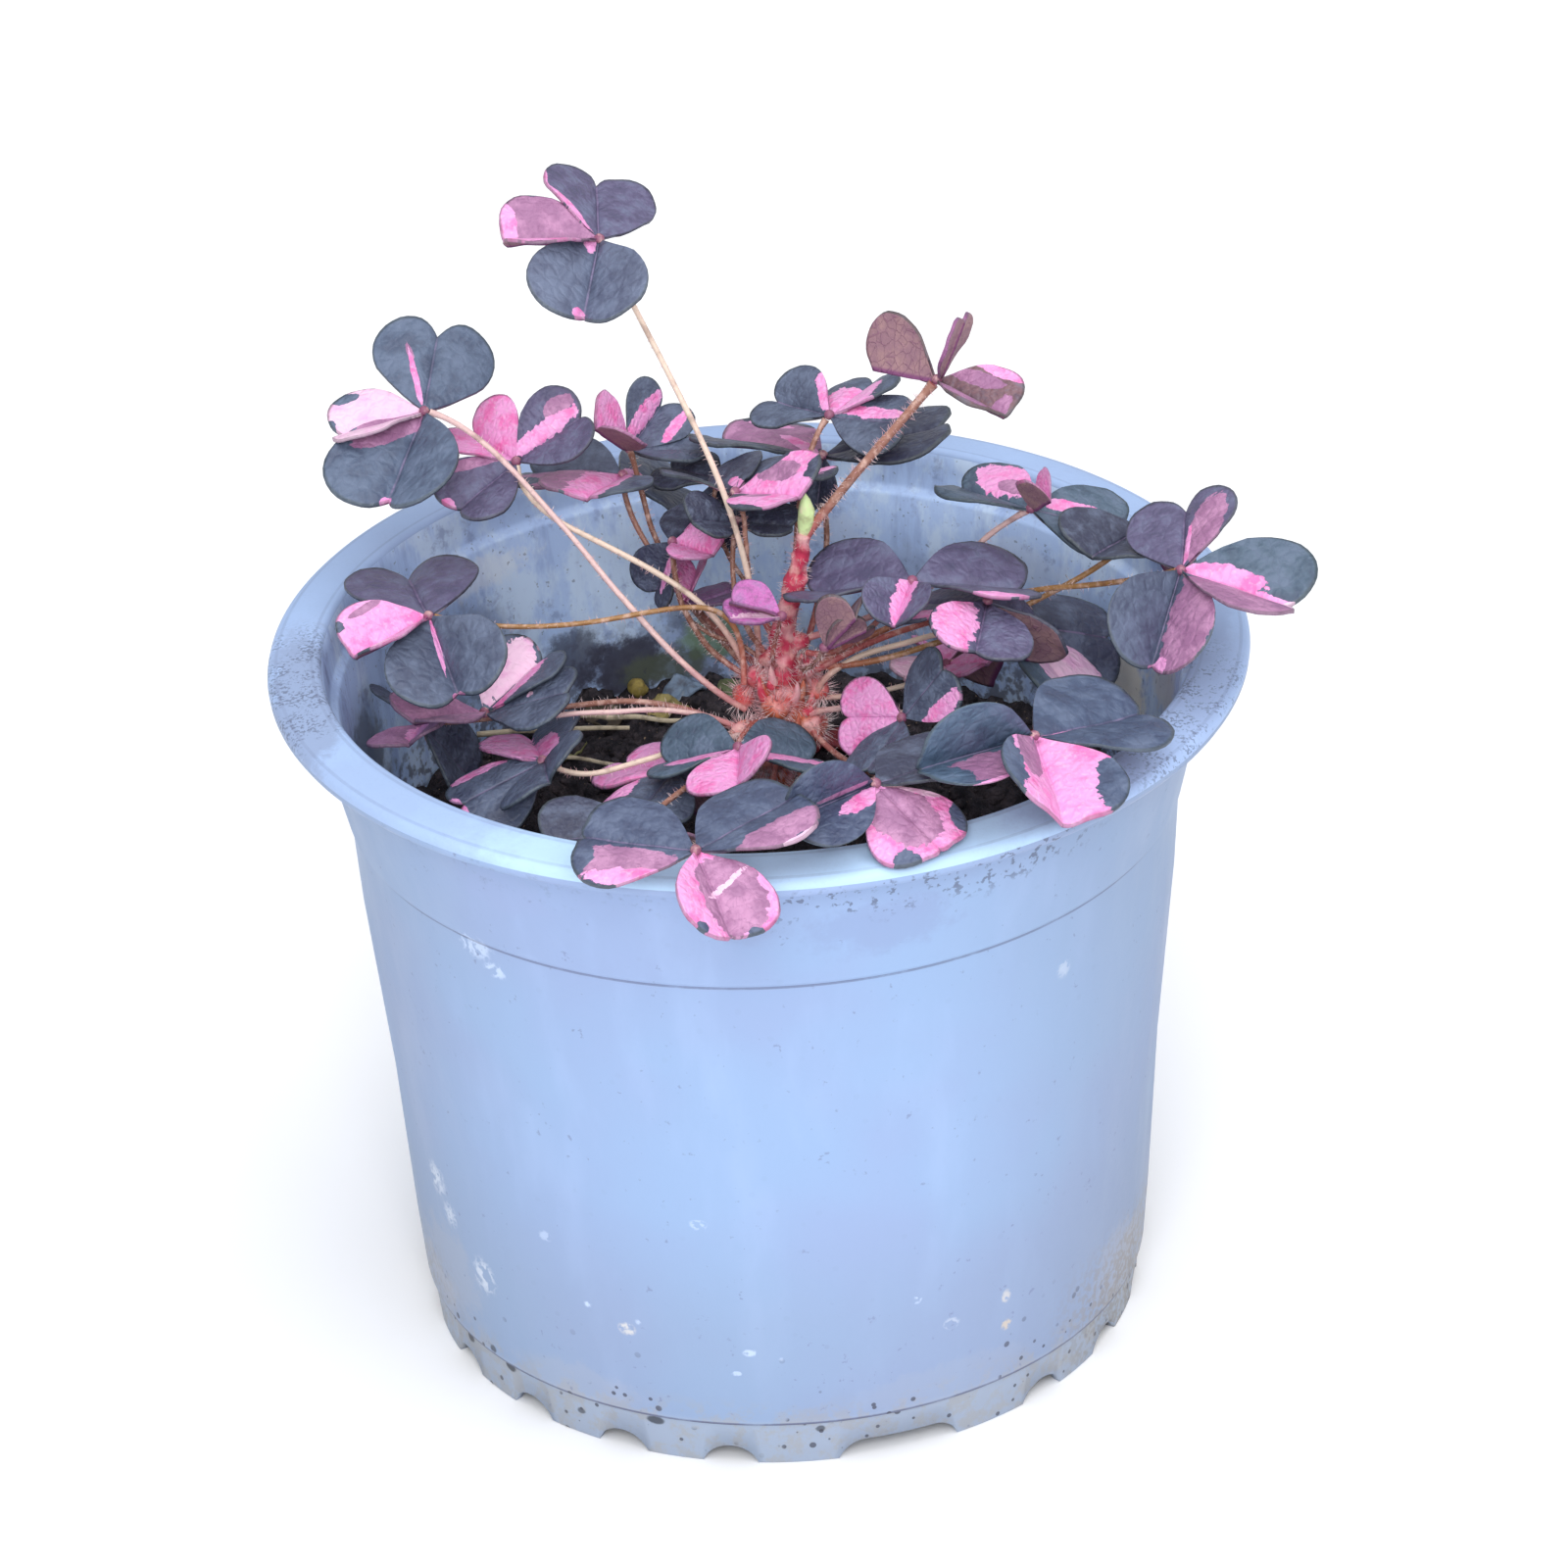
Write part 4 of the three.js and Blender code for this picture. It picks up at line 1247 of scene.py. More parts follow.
@dataclass
class Litter:
    """Fallen leaves, dry straws and pebbly bits on the soil."""

    scraps: tuple[Scrap, ...] = (
        Scrap(-12.1, 38.5, 3.2, 2.4, 20, 1.2, srgb(150, 136, 84)),
        Scrap(-24.5, 28.2, 2.4, 2.0, 60, 0.8, srgb(122, 122, 78)),
        Scrap(-20.5, 37.5, 2.8, 1.6, -30, 0.9, srgb(84, 74, 62)),
        Scrap(8.2, 26.4, 4.0, 2.8, 10, 1.0, srgb(124, 44, 52)),
        Scrap(-10.0, 43.6, 3.0, 1.8, -15, 0.6, srgb(120, 138, 160)),
        Scrap(36.5, 27.0, 3.6, 2.4, 30, 1.0, srgb(120, 40, 50)),
        Scrap(-31.0, 20.0, 3.0, 2.2, 80, 0.8, srgb(96, 66, 56)),
        Scrap(-3.5, 43.0, 2.6, 1.8, -50, 0.8, srgb(96, 104, 74)),
        Scrap(20.0, -30.0, 4.0, 2.6, 25, 1.0, srgb(110, 44, 46)),
        Scrap(-22.0, -26.0, 3.2, 2.2, -40, 0.9, srgb(104, 78, 62)),
    )
    straws: tuple[tuple[Triple, Triple, float], ...] = (
        ((-25.0, 35.4, 62.4), (-9.8, 33.0, 61.9), 0.42),
        ((-36.5, 30.4, 62.6), (-17.0, 31.7, 62.2), 0.4),
        ((-37.0, 28.0, 62.3), (-14.0, 20.0, 62.2), 0.34),
        ((16.0, 20.0, 62.0), (30.0, 33.0, 62.4), 0.34),
        ((-30.0, -18.0, 62.0), (-12.0, -26.0, 62.2), 0.3),
    )
    bits: tuple[tuple[float, float, float, Colour], ...] = (
        (1.5, 19.9, 1.5, srgb(124, 74, 52)), (3.6, 21.6, 1.1, srgb(150, 96, 66)),
        (-1.4, 22.4, 1.0, srgb(110, 66, 50)), (-16.0, 44.6, 1.3, srgb(150, 132, 70)),
        (12.0, -24.0, 1.6, srgb(150, 84, 62)), (9.0, -26.0, 1.2, srgb(128, 66, 50)),
        (25.0, 30.0, 1.2, srgb(206, 202, 190)), (-33.0, 8.0, 1.1, srgb(196, 190, 176)),
    )
    straw_tint: Colour = srgb(200, 186, 160)
    straw_steps: int = 14
    scrap_depth: float = 0.35
    grid: int = 10

    def build(self) -> None:
        """Makes the litter as one piece."""
        bm = bmesh.new()
        for scrap in self.scraps:
            self.add_scrap(bm, scrap)
        for start, end, radius in self.straws:
            self.add_straw(bm, Vector(start), Vector(end), radius)
        for x, y, radius, tint in self.bits:
            self.add_bit(bm, x, y, radius, tint)
        finish_piece("soil_litter", bm, [LitterFinish().build()])

    def add_scrap(self, bm: bmesh.types.BMesh, scrap: Scrap) -> None:
        """Adds a curled fallen leaf that follows the soil.

        Args:
            bm: The litter being built.
            scrap: The leaf.
        """
        blade = bmesh.new()
        bmesh.ops.create_grid(blade, x_segments=self.grid, y_segments=self.grid, size=1.0)
        turn = math.radians(scrap.turn)
        for vert in blade.verts:
            u, v = vert.co.x, vert.co.y
            u, v = u * math.sqrt(1 - v * v / 2), v * math.sqrt(1 - u * u / 2)
            ripple = noise.noise(Vector((u * 1.7, v * 1.7, scrap.x)))
            x = scrap.x + scrap.length * u * math.cos(turn) - scrap.width * v * math.sin(turn)
            y = scrap.y + scrap.length * u * math.sin(turn) + scrap.width * v * math.cos(turn)
            lift = 0.5 + scrap.curl * (v * v + 0.6 * ripple + 0.3 * u * u)
            vert.co = place(x, y, soil_height(x, y) + max(self.scrap_depth, lift))
        made = bmesh.ops.extrude_face_region(blade, geom=list(blade.faces), use_keep_orig=True)
        for item in made["geom"]:
            if isinstance(item, bmesh.types.BMVert):
                item.co.z -= self.scrap_depth * MM
        bmesh.ops.recalc_face_normals(blade, faces=blade.faces)
        add_tinted(bm, mesh_of(blade, "scrap"), [scrap.tint])

    def add_straw(self, bm: bmesh.types.BMesh, start: Vector, end: Vector, radius: float) -> None:
        """Adds a dry stalk that lies on the soil.

        Args:
            bm: The litter being built.
            start: One end, in millimetres from the pot's axis.
            end: The other end.
            radius: Its radius, in millimetres.
        """
        points, radii = [], []
        for index in range(self.straw_steps + 1):
            share = index / self.straw_steps
            at = start.lerp(end, share)
            bend = noise.noise(Vector((index * 0.3, start.x, 2.0)))
            points.append(place(at.x, at.y + bend, max(at.z, soil_height(at.x, at.y) + radius)))
            radii.append(radius * (1.0 - 0.3 * share) * MM)
        add_tinted(bm, swept_tube(points, radii, 3), [self.straw_tint])

    def add_bit(
        self, bm: bmesh.types.BMesh, x: float, y: float, radius: float, tint: Colour
    ) -> None:
        """Adds a lumpy bit half sunk in the soil.

        Args:
            bm: The litter being built.
            x: Place from the pot's axis, in millimetres.
            y: Place from the pot's axis, in millimetres.
            radius: Its radius.
            tint: Its tint.
        """
        lump = bmesh.new()
        bmesh.ops.create_icosphere(lump, subdivisions=3, radius=radius * MM)
        for vert in lump.verts:
            vert.co *= 1.0 + 0.3 * noise.noise(vert.co * 900.0 + Vector((x, y, 0.0)))
            vert.co += place(x, y, soil_height(x, y) + radius * 0.4)
        add_tinted(bm, mesh_of(lump, "bit"), [tint])


# ---- Leaves ----

# Half the outline of a leaflet of length 1, from its notch round to its base.
OUTLINE = (
    (0.880, 0.0), (0.922, 0.030), (0.957, 0.072), (0.982, 0.125), (0.996, 0.190),
    (0.998, 0.260), (0.980, 0.335), (0.942, 0.405), (0.890, 0.465), (0.825, 0.512),
    (0.750, 0.541), (0.665, 0.553), (0.575, 0.545), (0.485, 0.517), (0.398, 0.468),
    (0.316, 0.402), (0.240, 0.322), (0.172, 0.238), (0.112, 0.155), (0.062, 0.082),
    (0.025, 0.030),
)


class Mark(Enum):
    """What a leaflet can be patched with. Later ones are painted over earlier ones."""

    MAUVE = 0
    PINK = 1
    BLUSH = 2
    PALE = 3
    DARK = 4


MAUVE, PINK, BLUSH, PALE, DARK = Mark

SLATE = srgb(82, 91, 113)
HIGH = srgb(98, 106, 130)
NEAR = srgb(70, 80, 108)
# Painted shade: a darker slate that stands in for the shade on leaves deep in the plant and low in
# the pot.
SHADED_SLATE = srgb(58, 60, 80)
PLUM = srgb(96, 88, 120)
SAGE = srgb(76, 95, 113)
BROWN = srgb(132, 96, 100)
MAGENTA = srgb(204, 108, 184)
VIOLET = srgb(136, 92, 138)
TEAL = srgb(60, 84, 96)

Pose = tuple[float, float, float, float]
Patch = tuple[Mark, float, float, float, float] | tuple[Mark, float, float, float, float, float]


@dataclass(frozen=True)
class Leaflet:
    """One of the three leaflets: how it points and how it is patched.

    pose is heading, rise, roll and fold in degrees. Each mark is an oval: its kind, its
    place along the midrib and to the leaflet's left, its half sizes along and across,
    and its turn in degrees if it is turned. notch fills the tip's notch a little.
    """

    pose: Pose
    marks: tuple[Patch, ...] = ()
    scale: float = 1.0
    tone: Colour | None = None
    notch: float = 0.0


@dataclass(frozen=True)
class Leaf:
    """One three-part leaf and its stalk, in millimetres from the pot's axis.

    stalk holds where the stalk leaves the crown, the point it is lifted towards and the
    direction it comes from at the leaf. reach is how far that direction holds.
    """

    name: str
    hub: Triple
    size: float
    tone: Colour
    tint: Colour
    stalk: tuple[Triple, Triple, Triple]
    reach: float
    radius: float
    leaflets: tuple[Leaflet, ...]
    under: Colour = srgb(150, 116, 130)


PINKISH = srgb(222, 188, 186)
CREAM = srgb(226, 204, 186)
TAN = srgb(158, 112, 98)
RUST = srgb(172, 96, 88)
GOLD = srgb(158, 116, 72)
UMBER = srgb(132, 90, 76)

FULL = (PINK, 0.5, 0.0, 0.75, 0.75)

LEAVES = (
    Leaf(
        "top", (-17, 16, 138), 14.8, HIGH, CREAM,
        ((0, 5, 84), (0.5, 1.5, 107), (0.4, -0.2, -0.9)), 21, 0.5, (
            Leaflet((91, 9, 23, 7), scale=0.9, tone=PLUM, notch=0.01, marks=(
                (PINK, 0.3, 0.33, 0.36, 0.045, 49), (PINK, 0.6, 0.55, 0.2, 0.03),
            )),
            Leaflet((-172, 5, -3, 26), scale=0.81, notch=0.05, marks=(
                (MAUVE, 0.5, 0, 0.9, 0.9), (PINK, 0.94, -0.1, 0.12, 0.4),
                (PINK, 0.5, 0.4, 0.6, 0.12), (DARK, 0.62, -0.56, 0.08, 0.04),
            )),
            Leaflet((-100, -21, -6, 26), marks=(
                (PINK, 0.07, -0.07, 0.12, 0.06), (PINK, 0.89, -0.04, 0.07, 0.06),
            )),
        ),
    ),
    Leaf(
        "west_high", (-40, 24, 112), 16.4, srgb(88, 102, 126), PINKISH,
        ((-2, 4, 79), (-15, -2, 90.5), (0.9, 0, -0.3)), 12, 0.5, (
            Leaflet((80, 27, 15, -12), scale=0.87, notch=-0.06, marks=(
                (PINK, 0.34, 0.13, 0.34, 0.03, 20), (MAUVE, 0.6, 0.22, 0.12, 0.03, 25),
            )),
            Leaflet((-172, -12, 0, 20), scale=0.72, marks=(
                (PALE, 0.5, 0, 0.9, 0.9), (PINK, 0.3, 0.1, 0.3, 0.1),
                (DARK, 0.76, -0.46, 0.14, 0.08), (DARK, 0.99, -0.1, 0.06, 0.12),
            )),
            Leaflet((-110, -24, 4, 19), scale=1.02, notch=-0.01, marks=(
                (MAUVE, 0.25, -0.2, 0.34, 0.13, -38), (PINK, 0.9, 0, 0.06, 0.05),
            )),
        ),
    ),
    Leaf(
        "west_back", (-29, 23, 105), 10.8, PLUM, CREAM,
        ((-1, 5, 82), (-6, 7.5, 101), (0.1, -0.8, -0.75)), 11.5, 0.5, (
            Leaflet((125, 4, -20, 29), (FULL, (MAUVE, 0.6, 0.2, 0.25, 0.15))),
            Leaflet((13, 30, 26, 14), marks=(
                (PINK, 0.45, 0.1, 0.5, 0.1), (MAUVE, 0.75, 0.25, 0.2, 0.12),
            )),
            Leaflet((-141, -20, -10, 12), marks=(
                (MAUVE, 0.4, -0.34, 0.34, 0.08, -30), (PINK, 0.95, -0.12, 0.07, 0.1),
            )),
        ),
    ),
    Leaf(
        "back_left", (-16, 28, 100), 13.4, SLATE, TAN,
        ((0, 6, 81), (-2.5, 15, 81), (0, -0.4, -0.9)), 9, 0.5, (
            Leaflet((160, -5, -1, 10), marks=(
                (MAUVE, 0.55, 0.3, 0.5, 0.26), (DARK, 0.8, 0.4, 0.16, 0.12),
            )),
            Leaflet((-112, 12, 4, 10), marks=(
                (MAUVE, 0.5, -0.4, 0.6, 0.3), (PINK, 0.55, -0.02, 0.8, 0.24),
            )),
            Leaflet((46, -30, 22, -3), ((PINK, 0.18, 0, 0.18, 0.12),)),
        ),
    ),
    Leaf(
        "back_left_far", (-15, 31, 102), 9.8, SLATE, UMBER,
        ((1, 6, 83), (-13, 25.5, 84.5), (0.2, -0.9, -0.4)), 10.5, 0.5, (
            Leaflet((-125, 42, -34, 35), (FULL,)),
            Leaflet((60, 16, 40, 28), marks=(
                (PINK, 0.5, 0.14, 0.5, 0.12), (PINK, 0.6, -0.32, 0.35, 0.08),
            )),
            Leaflet((-6, 0, -8, 2)),
        ),
    ),
    Leaf(
        "back_dark", (-4, 26, 100), 9, SHADED_SLATE, UMBER,
        ((2.2, 6, 82.5), (3.5, 17.5, 87), (-0.3, -0.9, -0.4)), 11.5, 0.4, (
            Leaflet((139, -5, -6, -2)),
            Leaflet((-101, -70, 0, 40)),
            Leaflet((19, -60, 0, 40)),
        ),
    ),
    Leaf(
        "back", (10, 22, 110), 10.4, SLATE, TAN,
        ((4, 6, 86), (5, 15, 85), (-0.6, -0.3, -0.7)), 8.5, 0.5, (
            Leaflet((135, -6, -23, 15), ((PINK, 0.24, -0.3, 0.34, 0.13, -50),)),
            Leaflet((53, 4, -21, 2), ((PINK, 0.42, 0, 0.45, 0.42), (DARK, 0.9, 0.1, 0.2, 0.4))),
            Leaflet((-22, 2, 14, -9), ((PINK, 0.5, 0.12, 0.5, 0.1),)),
        ),
    ),
    Leaf(
        "back_low", (9, 24, 103.5), 16.6, SHADED_SLATE, UMBER,
        ((5, 6, 84), (11.5, 24.5, 92), (-0.3, 0.2, -1)), 2.5, 0.5, (
            Leaflet((146, -5, 15, 7), marks=(
                (MAUVE, 0.5, -0.2, 0.55, 0.24), (PINK, 0.25, -0.1, 0.26, 0.05, -20),
                (PINK, 0.7, -0.36, 0.22, 0.05),
            )),
            Leaflet((0, 13, -8, -2)),
            Leaflet((-108, -60, 0, 40), scale=0.45),
        ),
    ),
    Leaf(
        "middle_back", (-2, 9, 106.5), 12.6, SHADED_SLATE, TAN,
        ((2, 5, 88), (-3, 9, 96), (0.3, -0.8, -0.5)), 7.5, 0.45, (
            Leaflet((109, -18, 0, 22), ((PINK, 0.2, -0.1, 0.2, 0.06),)),
            Leaflet((-45, 16, 12, 17), marks=(
                FULL, (BLUSH, 0.45, 0.26, 0.32, 0.13), (BLUSH, 0.5, -0.16, 0.2, 0.08),
                (DARK, 0.12, -0.18, 0.2, 0.12), (DARK, 0.96, 0.34, 0.14, 0.2),
                (DARK, 0.66, -0.54, 0.34, 0.08), (DARK, 0.3, 0.36, 0.2, 0.06, 40),
            )),
            Leaflet((28, -2, -13, 8), ((PINK, 0.75, -0.1, 0.3, 0.3),)),
        ),
    ),
    Leaf(
        "middle", (-2, 10, 102), 7.5, SHADED_SLATE, UMBER,
        ((1, 4, 86), (-0.5, 2, 90.5), (-0.2, -0.6, -0.8)), 10.5, 0.45, (
            Leaflet((-146, 20, -24, 14)),
            Leaflet((58, -8, 32, 34), ((PINK, 0.6, -0.3, 0.4, 0.25),)),
            Leaflet((-15, 0, 2, 9)),
        ),
    ),
    Leaf(
        "east_high", (23, 6, 122), 12.2, BROWN, TAN,
        ((6.2, 4, 102.4), (10, 4.4, 107.6), (-0.66, -0.07, -0.75)), 8, 0.75, (
            Leaflet((133, -10, 69, 39), scale=1.05, tone=BROWN, notch=-0.04, marks=(
                (PINK, 0.2, -0.1, 0.22, 0.05, -15),
            )),
            Leaflet((19, 66, -39, -6), scale=0.71, tone=MAGENTA, notch=0.01, marks=(
                (PINK, 0.4, 0.1, 0.5, 0.1), (MAUVE, 0.6, -0.1, 0.5, 0.2),
            )),
            Leaflet((-40, -11, -4, 26), scale=0.88, tone=BROWN, notch=0.08, marks=(
                (MAUVE, 0.42, 0.24, 0.36, 0.1, 12), (PINK, 0.5, 0.47, 0.48, 0.1, 6),
                (MAUVE, 0.86, 0.0, 0.1, 0.24), (MAUVE, 0.5, -0.34, 0.4, 0.12),
            )),
        ),
    ),
    Leaf(
        "east_back", (34, 6, 104), 12.1, SAGE, PINKISH,
        ((6, 5, 88), (27.5, 3.5, 95), (-0.6, 0.5, -0.6)), 17.5, 0.5, (
            Leaflet((139, -2, 5, 13), marks=(
                (PINK, 0.48, -0.28, 0.44, 0.24), (BLUSH, 0.36, -0.2, 0.2, 0.1),
            )),
            Leaflet((-68, 36, 13, 61), (FULL,), scale=0.6),
            Leaflet((-3, -15, 12, 2), ((PINK, 0.35, 0.12, 0.4, 0.08),)),
        ),
    ),
    Leaf(
        "east_back_dark", (47.5, 5.5, 101), 12.6, SHADED_SLATE, GOLD,
        ((6, 5, 84), (18.5, 1, 84.5), (-0.5, 0.2, -0.9)), 7.5, 0.5, (
            Leaflet((-126, 6, -10, 19), ((PINK, 0.12, 0.1, 0.12, 0.08),)),
            Leaflet((-14, -60, 0, 30), scale=0.7),
            Leaflet((113, -40, 0, 30)),
        ),
    ),
    Leaf(
        "east", (51, -12, 104), 15.3, SAGE, GOLD,
        ((6, 4, 84), (27, 10.5, 94), (-0.5, 0.7, -0.5)), 24.5, 0.5, (
            Leaflet((83, 14, -21, 6), scale=0.86, tone=PLUM, notch=-0.05, marks=(
                (MAUVE, 0.42, -0.24, 0.46, 0.2, -14), (PINK, 0.3, -0.06, 0.3, 0.03, -5),
            )),
            Leaflet((-27, -8, 4, 20), scale=1.04, notch=-0.01, marks=(
                (MAUVE, 0.55, -0.32, 0.62, 0.3), (PINK, 0.34, 0.06, 0.4, 0.09, 6),
                (PINK, 0.74, -0.02, 0.25, 0.06), (PALE, 0.92, -0.04, 0.09, 0.08),
            )),
            Leaflet((-111, -30, -12, 43), scale=1.03, tone=SLATE, notch=-0.02, marks=(
                (MAUVE, 0.5, 0.28, 0.62, 0.26), (PINK, 0.95, 0.06, 0.14, 0.1),
            )),
        ),
    ),
    Leaf(
        "north_small", (-10, 14, 97.5), 8.3, SHADED_SLATE, UMBER,
        ((0, 5, 82), (-8.5, 9.5, 85), (0, -0.9, -0.5)), 8.5, 0.5, (
            Leaflet((59, 9, -18, 9), ((PINK, 0.5, -0.2, 0.4, 0.2),)),
            Leaflet((-48, 6, 19, 30), (FULL,)),
            Leaflet((173, -70, -41, 16), ((PINK, 0.4, 0.2, 0.4, 0.12),)),
        ),
    ),
    Leaf(
        "middle_east", (19, -3, 99.5), 15.3, PLUM, RUST,
        ((6, 3, 87), (10, -2, 88.5), (-0.5, 0.2, -0.8)), 9, 0.5, (
            Leaflet((157, -16, -2, 18), ((PINK, 0.12, 0.1, 0.14, 0.05),)),
            Leaflet((11, -14, -2, 15), ((PINK, 0.45, -0.5, 0.42, 0.06),)),
            Leaflet((-108, -12, 0, 36), ((PINK, 0.3, 0, 0.6, 0.16),), scale=0.62),
        ),
    ),
    Leaf(
        "east_inner", (28, -4.5, 97), 11.9, PLUM, RUST,
        ((7, 4, 84), (24, 6.5, 92.5), (-0.7, -0.2, -0.8)), 5, 0.5, (
            Leaflet((-100, -7, -17, 7), ((PINK, 0.55, -0.28, 0.5, 0.24),)),
            Leaflet((144, -18, 4, -1), ((PINK, 0.5, 0.4, 0.4, 0.1),)),
            Leaflet((22, -60, 0, 40)),
        ),
    ),
    Leaf(
        "east_low", (32, 8.5, 87), 15, SHADED_SLATE, CREAM,
        ((7, 4, 81), (9, 3, 88), (-1, 0, -0.1)), 4.5, 0.5, (
            Leaflet((22, -22, 32, -22)),
            Leaflet((-53, -29, -28, 4), tone=SAGE, marks=(
                (PALE, 0.45, 0.08, 0.6, 0.46), (DARK, 0.6, -0.4, 0.4, 0.12),
            )),
            Leaflet((120, -60, 0, 55), tone=TEAL),
        ),
    ),
    Leaf(
        "west", (-40, 1, 95.5), 14.6, SLATE, GOLD,
        ((-2, 3, 83), (-1, 8, 101.5), (1, 0, -0.3)), 25.5, 0.45, (
            Leaflet((103, -5, -1, 7), scale=1.05, tone=PLUM, notch=-0.05),
            Leaflet((-143, -9, 1, 30), scale=0.78, notch=0.09, marks=(
                (PINK, 0.5, 0, 0.9, 0.9), (BLUSH, 0.52, -0.42, 0.26, 0.05),
                (PALE, 0.8, 0.3, 0.12, 0.14), (DARK, 0.99, 0.25, 0.1, 0.14),
                (DARK, 0.93, -0.38, 0.08, 0.08),
            )),
            Leaflet((-73, -22, 14, 26), scale=1.05, notch=-0.05, marks=(
                (PINK, 0.34, -0.02, 0.36, 0.022, -4), (PINK, 0.9, 0, 0.07, 0.05),
            )),
        ),
    ),
    Leaf(
        "west_low", (-34, 1.5, 81.5), 12.1, SLATE, PINKISH,
        ((-3, 3, 77), (-13, 1, 84), (1, 0.1, -0.3)), 10, 0.45, (
            Leaflet((46, 17, -4, 20), marks=(
                (PALE, 0.5, 0.2, 0.5, 0.3), (PINK, 0.45, -0.1, 0.4, 0.15),
            )),
            Leaflet((-11, 19, 4, -2), marks=(
                (PALE, 0.6, 0.3, 0.06, 0.05), (PALE, 0.5, 0.1, 0.04, 0.05),
            )),
            Leaflet((-142, 15, 4, 15), ((MAUVE, 0.5, 0, 0.7, 0.7),)),
        ),
    ),
    Leaf(
        "west_wall", (-42, 7, 77.5), 12, SHADED_SLATE, TAN,
        ((-3, 4, 76), (-16.5, 5.5, 84.5), (0.9, 0.3, -0.2)), 18, 0.5, (
            Leaflet((25, -58, 34, 6)),
            Leaflet((115, 0, -10, 45), ((PINK, 0.5, 0, 0.5, 0.12),), scale=0.75),
            Leaflet((-100, 12, 20, 12), scale=0.85, marks=(
                (MAUVE, 0.5, 0, 0.7, 0.7), (PINK, 0.5, 0.1, 0.4, 0.2),
            )),
        ),
    ),
    Leaf(
        "south_west", (-27, -5, 78), 12.4, SLATE, CREAM,
        ((-3, 2, 75), (-8.5, -3.5, 82), (0.8, -0.4, -0.4)), 9, 0.5, (
            Leaflet((99, -14, -13, 15), marks=(
                (PINK, 0.55, 0.25, 0.6, 0.32), (PINK, 0.3, -0.12, 0.3, 0.14),
            )),
            Leaflet((-86, 16, 39, 7)),
            Leaflet((-159, -17, -11, -20), marks=(
                (PINK, 0.5, -0.42, 0.4, 0.1), (PINK, 0.97, 0.1, 0.08, 0.3),
            )),
        ),
    ),
    Leaf(
        "south_wall", (-15, -28, 80), 12.1, SHADED_SLATE, TAN,
        ((-1, 1, 75), (-0.5, -4, 78), (0.2, 1, -0.1)), 12.5, 0.5, (
            Leaflet((-174, 2, -6, 13), ((PINK, 0.22, -0.2, 0.25, 0.12),)),
            Leaflet((-54, -50, 0, 30)),
            Leaflet((65, -60, 0, 40), ((MAUVE, 0.5, 0, 0.8, 0.8),)),
        ),
    ),
    Leaf(
        "south_inner", (-11, -7, 77), 11.7, SLATE, PINKISH,
        ((-2, 2, 76), (-2, 0.5, 78.5), (0.5, 0.9, -0.1)), 5.5, 0.5, (
            Leaflet((127, -17, -5, -1), (FULL,)),
            Leaflet((-119, -6, 7, -9), ((PINK, 0.5, -0.42, 0.45, 0.16),)),
            Leaflet((4, -65, 0, 40)),
        ),
    ),
    Leaf(
        "south", (-3, -11, 82), 11.4, SAGE, RUST,
        ((0.8, 1.8, 78), (-1, -1, 81), (0, 1, -0.3)), 2.5, 0.5, (
            Leaflet((158, -21, -11, 17), ((PINK, 0.4, 0.16, 0.42, 0.14),)),
            Leaflet((20, -22, 7, 12), ((PINK, 0.5, -0.22, 0.5, 0.12),)),
            Leaflet((-92, 0, 28, 18), (FULL,)),
        ),
    ),
    Leaf(
        "south_rim", (-8, -64.2, 98.1), 16.5, NEAR, TAN,
        ((2.4, 2.8, 78), (0, -18, 64), (0.02, 0.95, -0.3)), 14, 0.5, (
            Leaflet((161, 0, -12, -2), scale=0.84, notch=0.09, marks=(
                (MAUVE, 0.5, 0.28, 0.48, 0.22), (PINK, 0.42, 0.42, 0.45, 0.09, 8),
                (DARK, 0.97, 0.3, 0.16, 0.22),
            )),
            Leaflet((36, 8, -4, -2), scale=0.88, notch=0.09, marks=(
                (MAUVE, 0.55, -0.37, 0.5, 0.16), (PALE, 0.6, -0.54, 0.4, 0.03),
            )),
            Leaflet((-68, -31, -16, 17), scale=0.76, notch=0.05, marks=(
                (PINK, 0.5, 0, 0.9, 0.9), (BLUSH, 0.55, 0.12, 0.46, 0.34),
                (PALE, 0.43, 0.12, 0.34, 0.03, -63), (DARK, 0.99, 0.2, 0.07, 0.09),
                (DARK, 0.9, -0.38, 0.07, 0.08),
            )),
        ),
    ),
    Leaf(
        "south_east", (13, -48.5, 97), 14.4, NEAR, TAN,
        ((3.4, 2.6, 79), (5, -14, 63), (-0.1, 0.93, -0.35)), 13, 0.5, (
            Leaflet((-148, -4, -57, 47), scale=0.9, marks=(
                (PINK, 0.25, 0.13, 0.28, 0.1, 12), (MAUVE, 0.36, -0.06, 0.34, 0.03),
            )),
            Leaflet((35, -1, -7, 2), ((PINK, 0.5, -0.52, 0.5, 0.05),), tone=SHADED_SLATE),
            Leaflet((-48, -23, 8, -12), scale=0.82, notch=0.09, marks=(
                (PINK, 0.5, 0, 0.9, 0.9), (BLUSH, 0.48, -0.02, 0.4, 0.34),
                (PALE, 0.25, 0.3, 0.3, 0.06, 40), (DARK, 0.78, 0.48, 0.2, 0.13, -20),
                (DARK, 0.92, -0.38, 0.16, 0.14),
            )),
        ),
    ),
    Leaf(
        "east_front", (31.8, -41.9, 98.7), 16.6, srgb(70, 84, 112), TAN,
        ((5.2, 2.6, 78), (14, -8, 68), (-0.35, 0.75, -0.55)), 14, 0.5, (
            Leaflet((-152, 1, -51, 57), scale=0.95, tone=srgb(82, 104, 128), notch=0.09, marks=(
                (MAUVE, 0.48, 0.28, 0.52, 0.24), (PINK, 0.5, 0.53, 0.5, 0.04),
                (DARK, 0.93, 0.3, 0.2, 0.25),
            )),
            Leaflet((37, -11, 5, 7), ((PINK, 0.28, -0.02, 0.28, 0.02),), scale=1.01, notch=0.09),
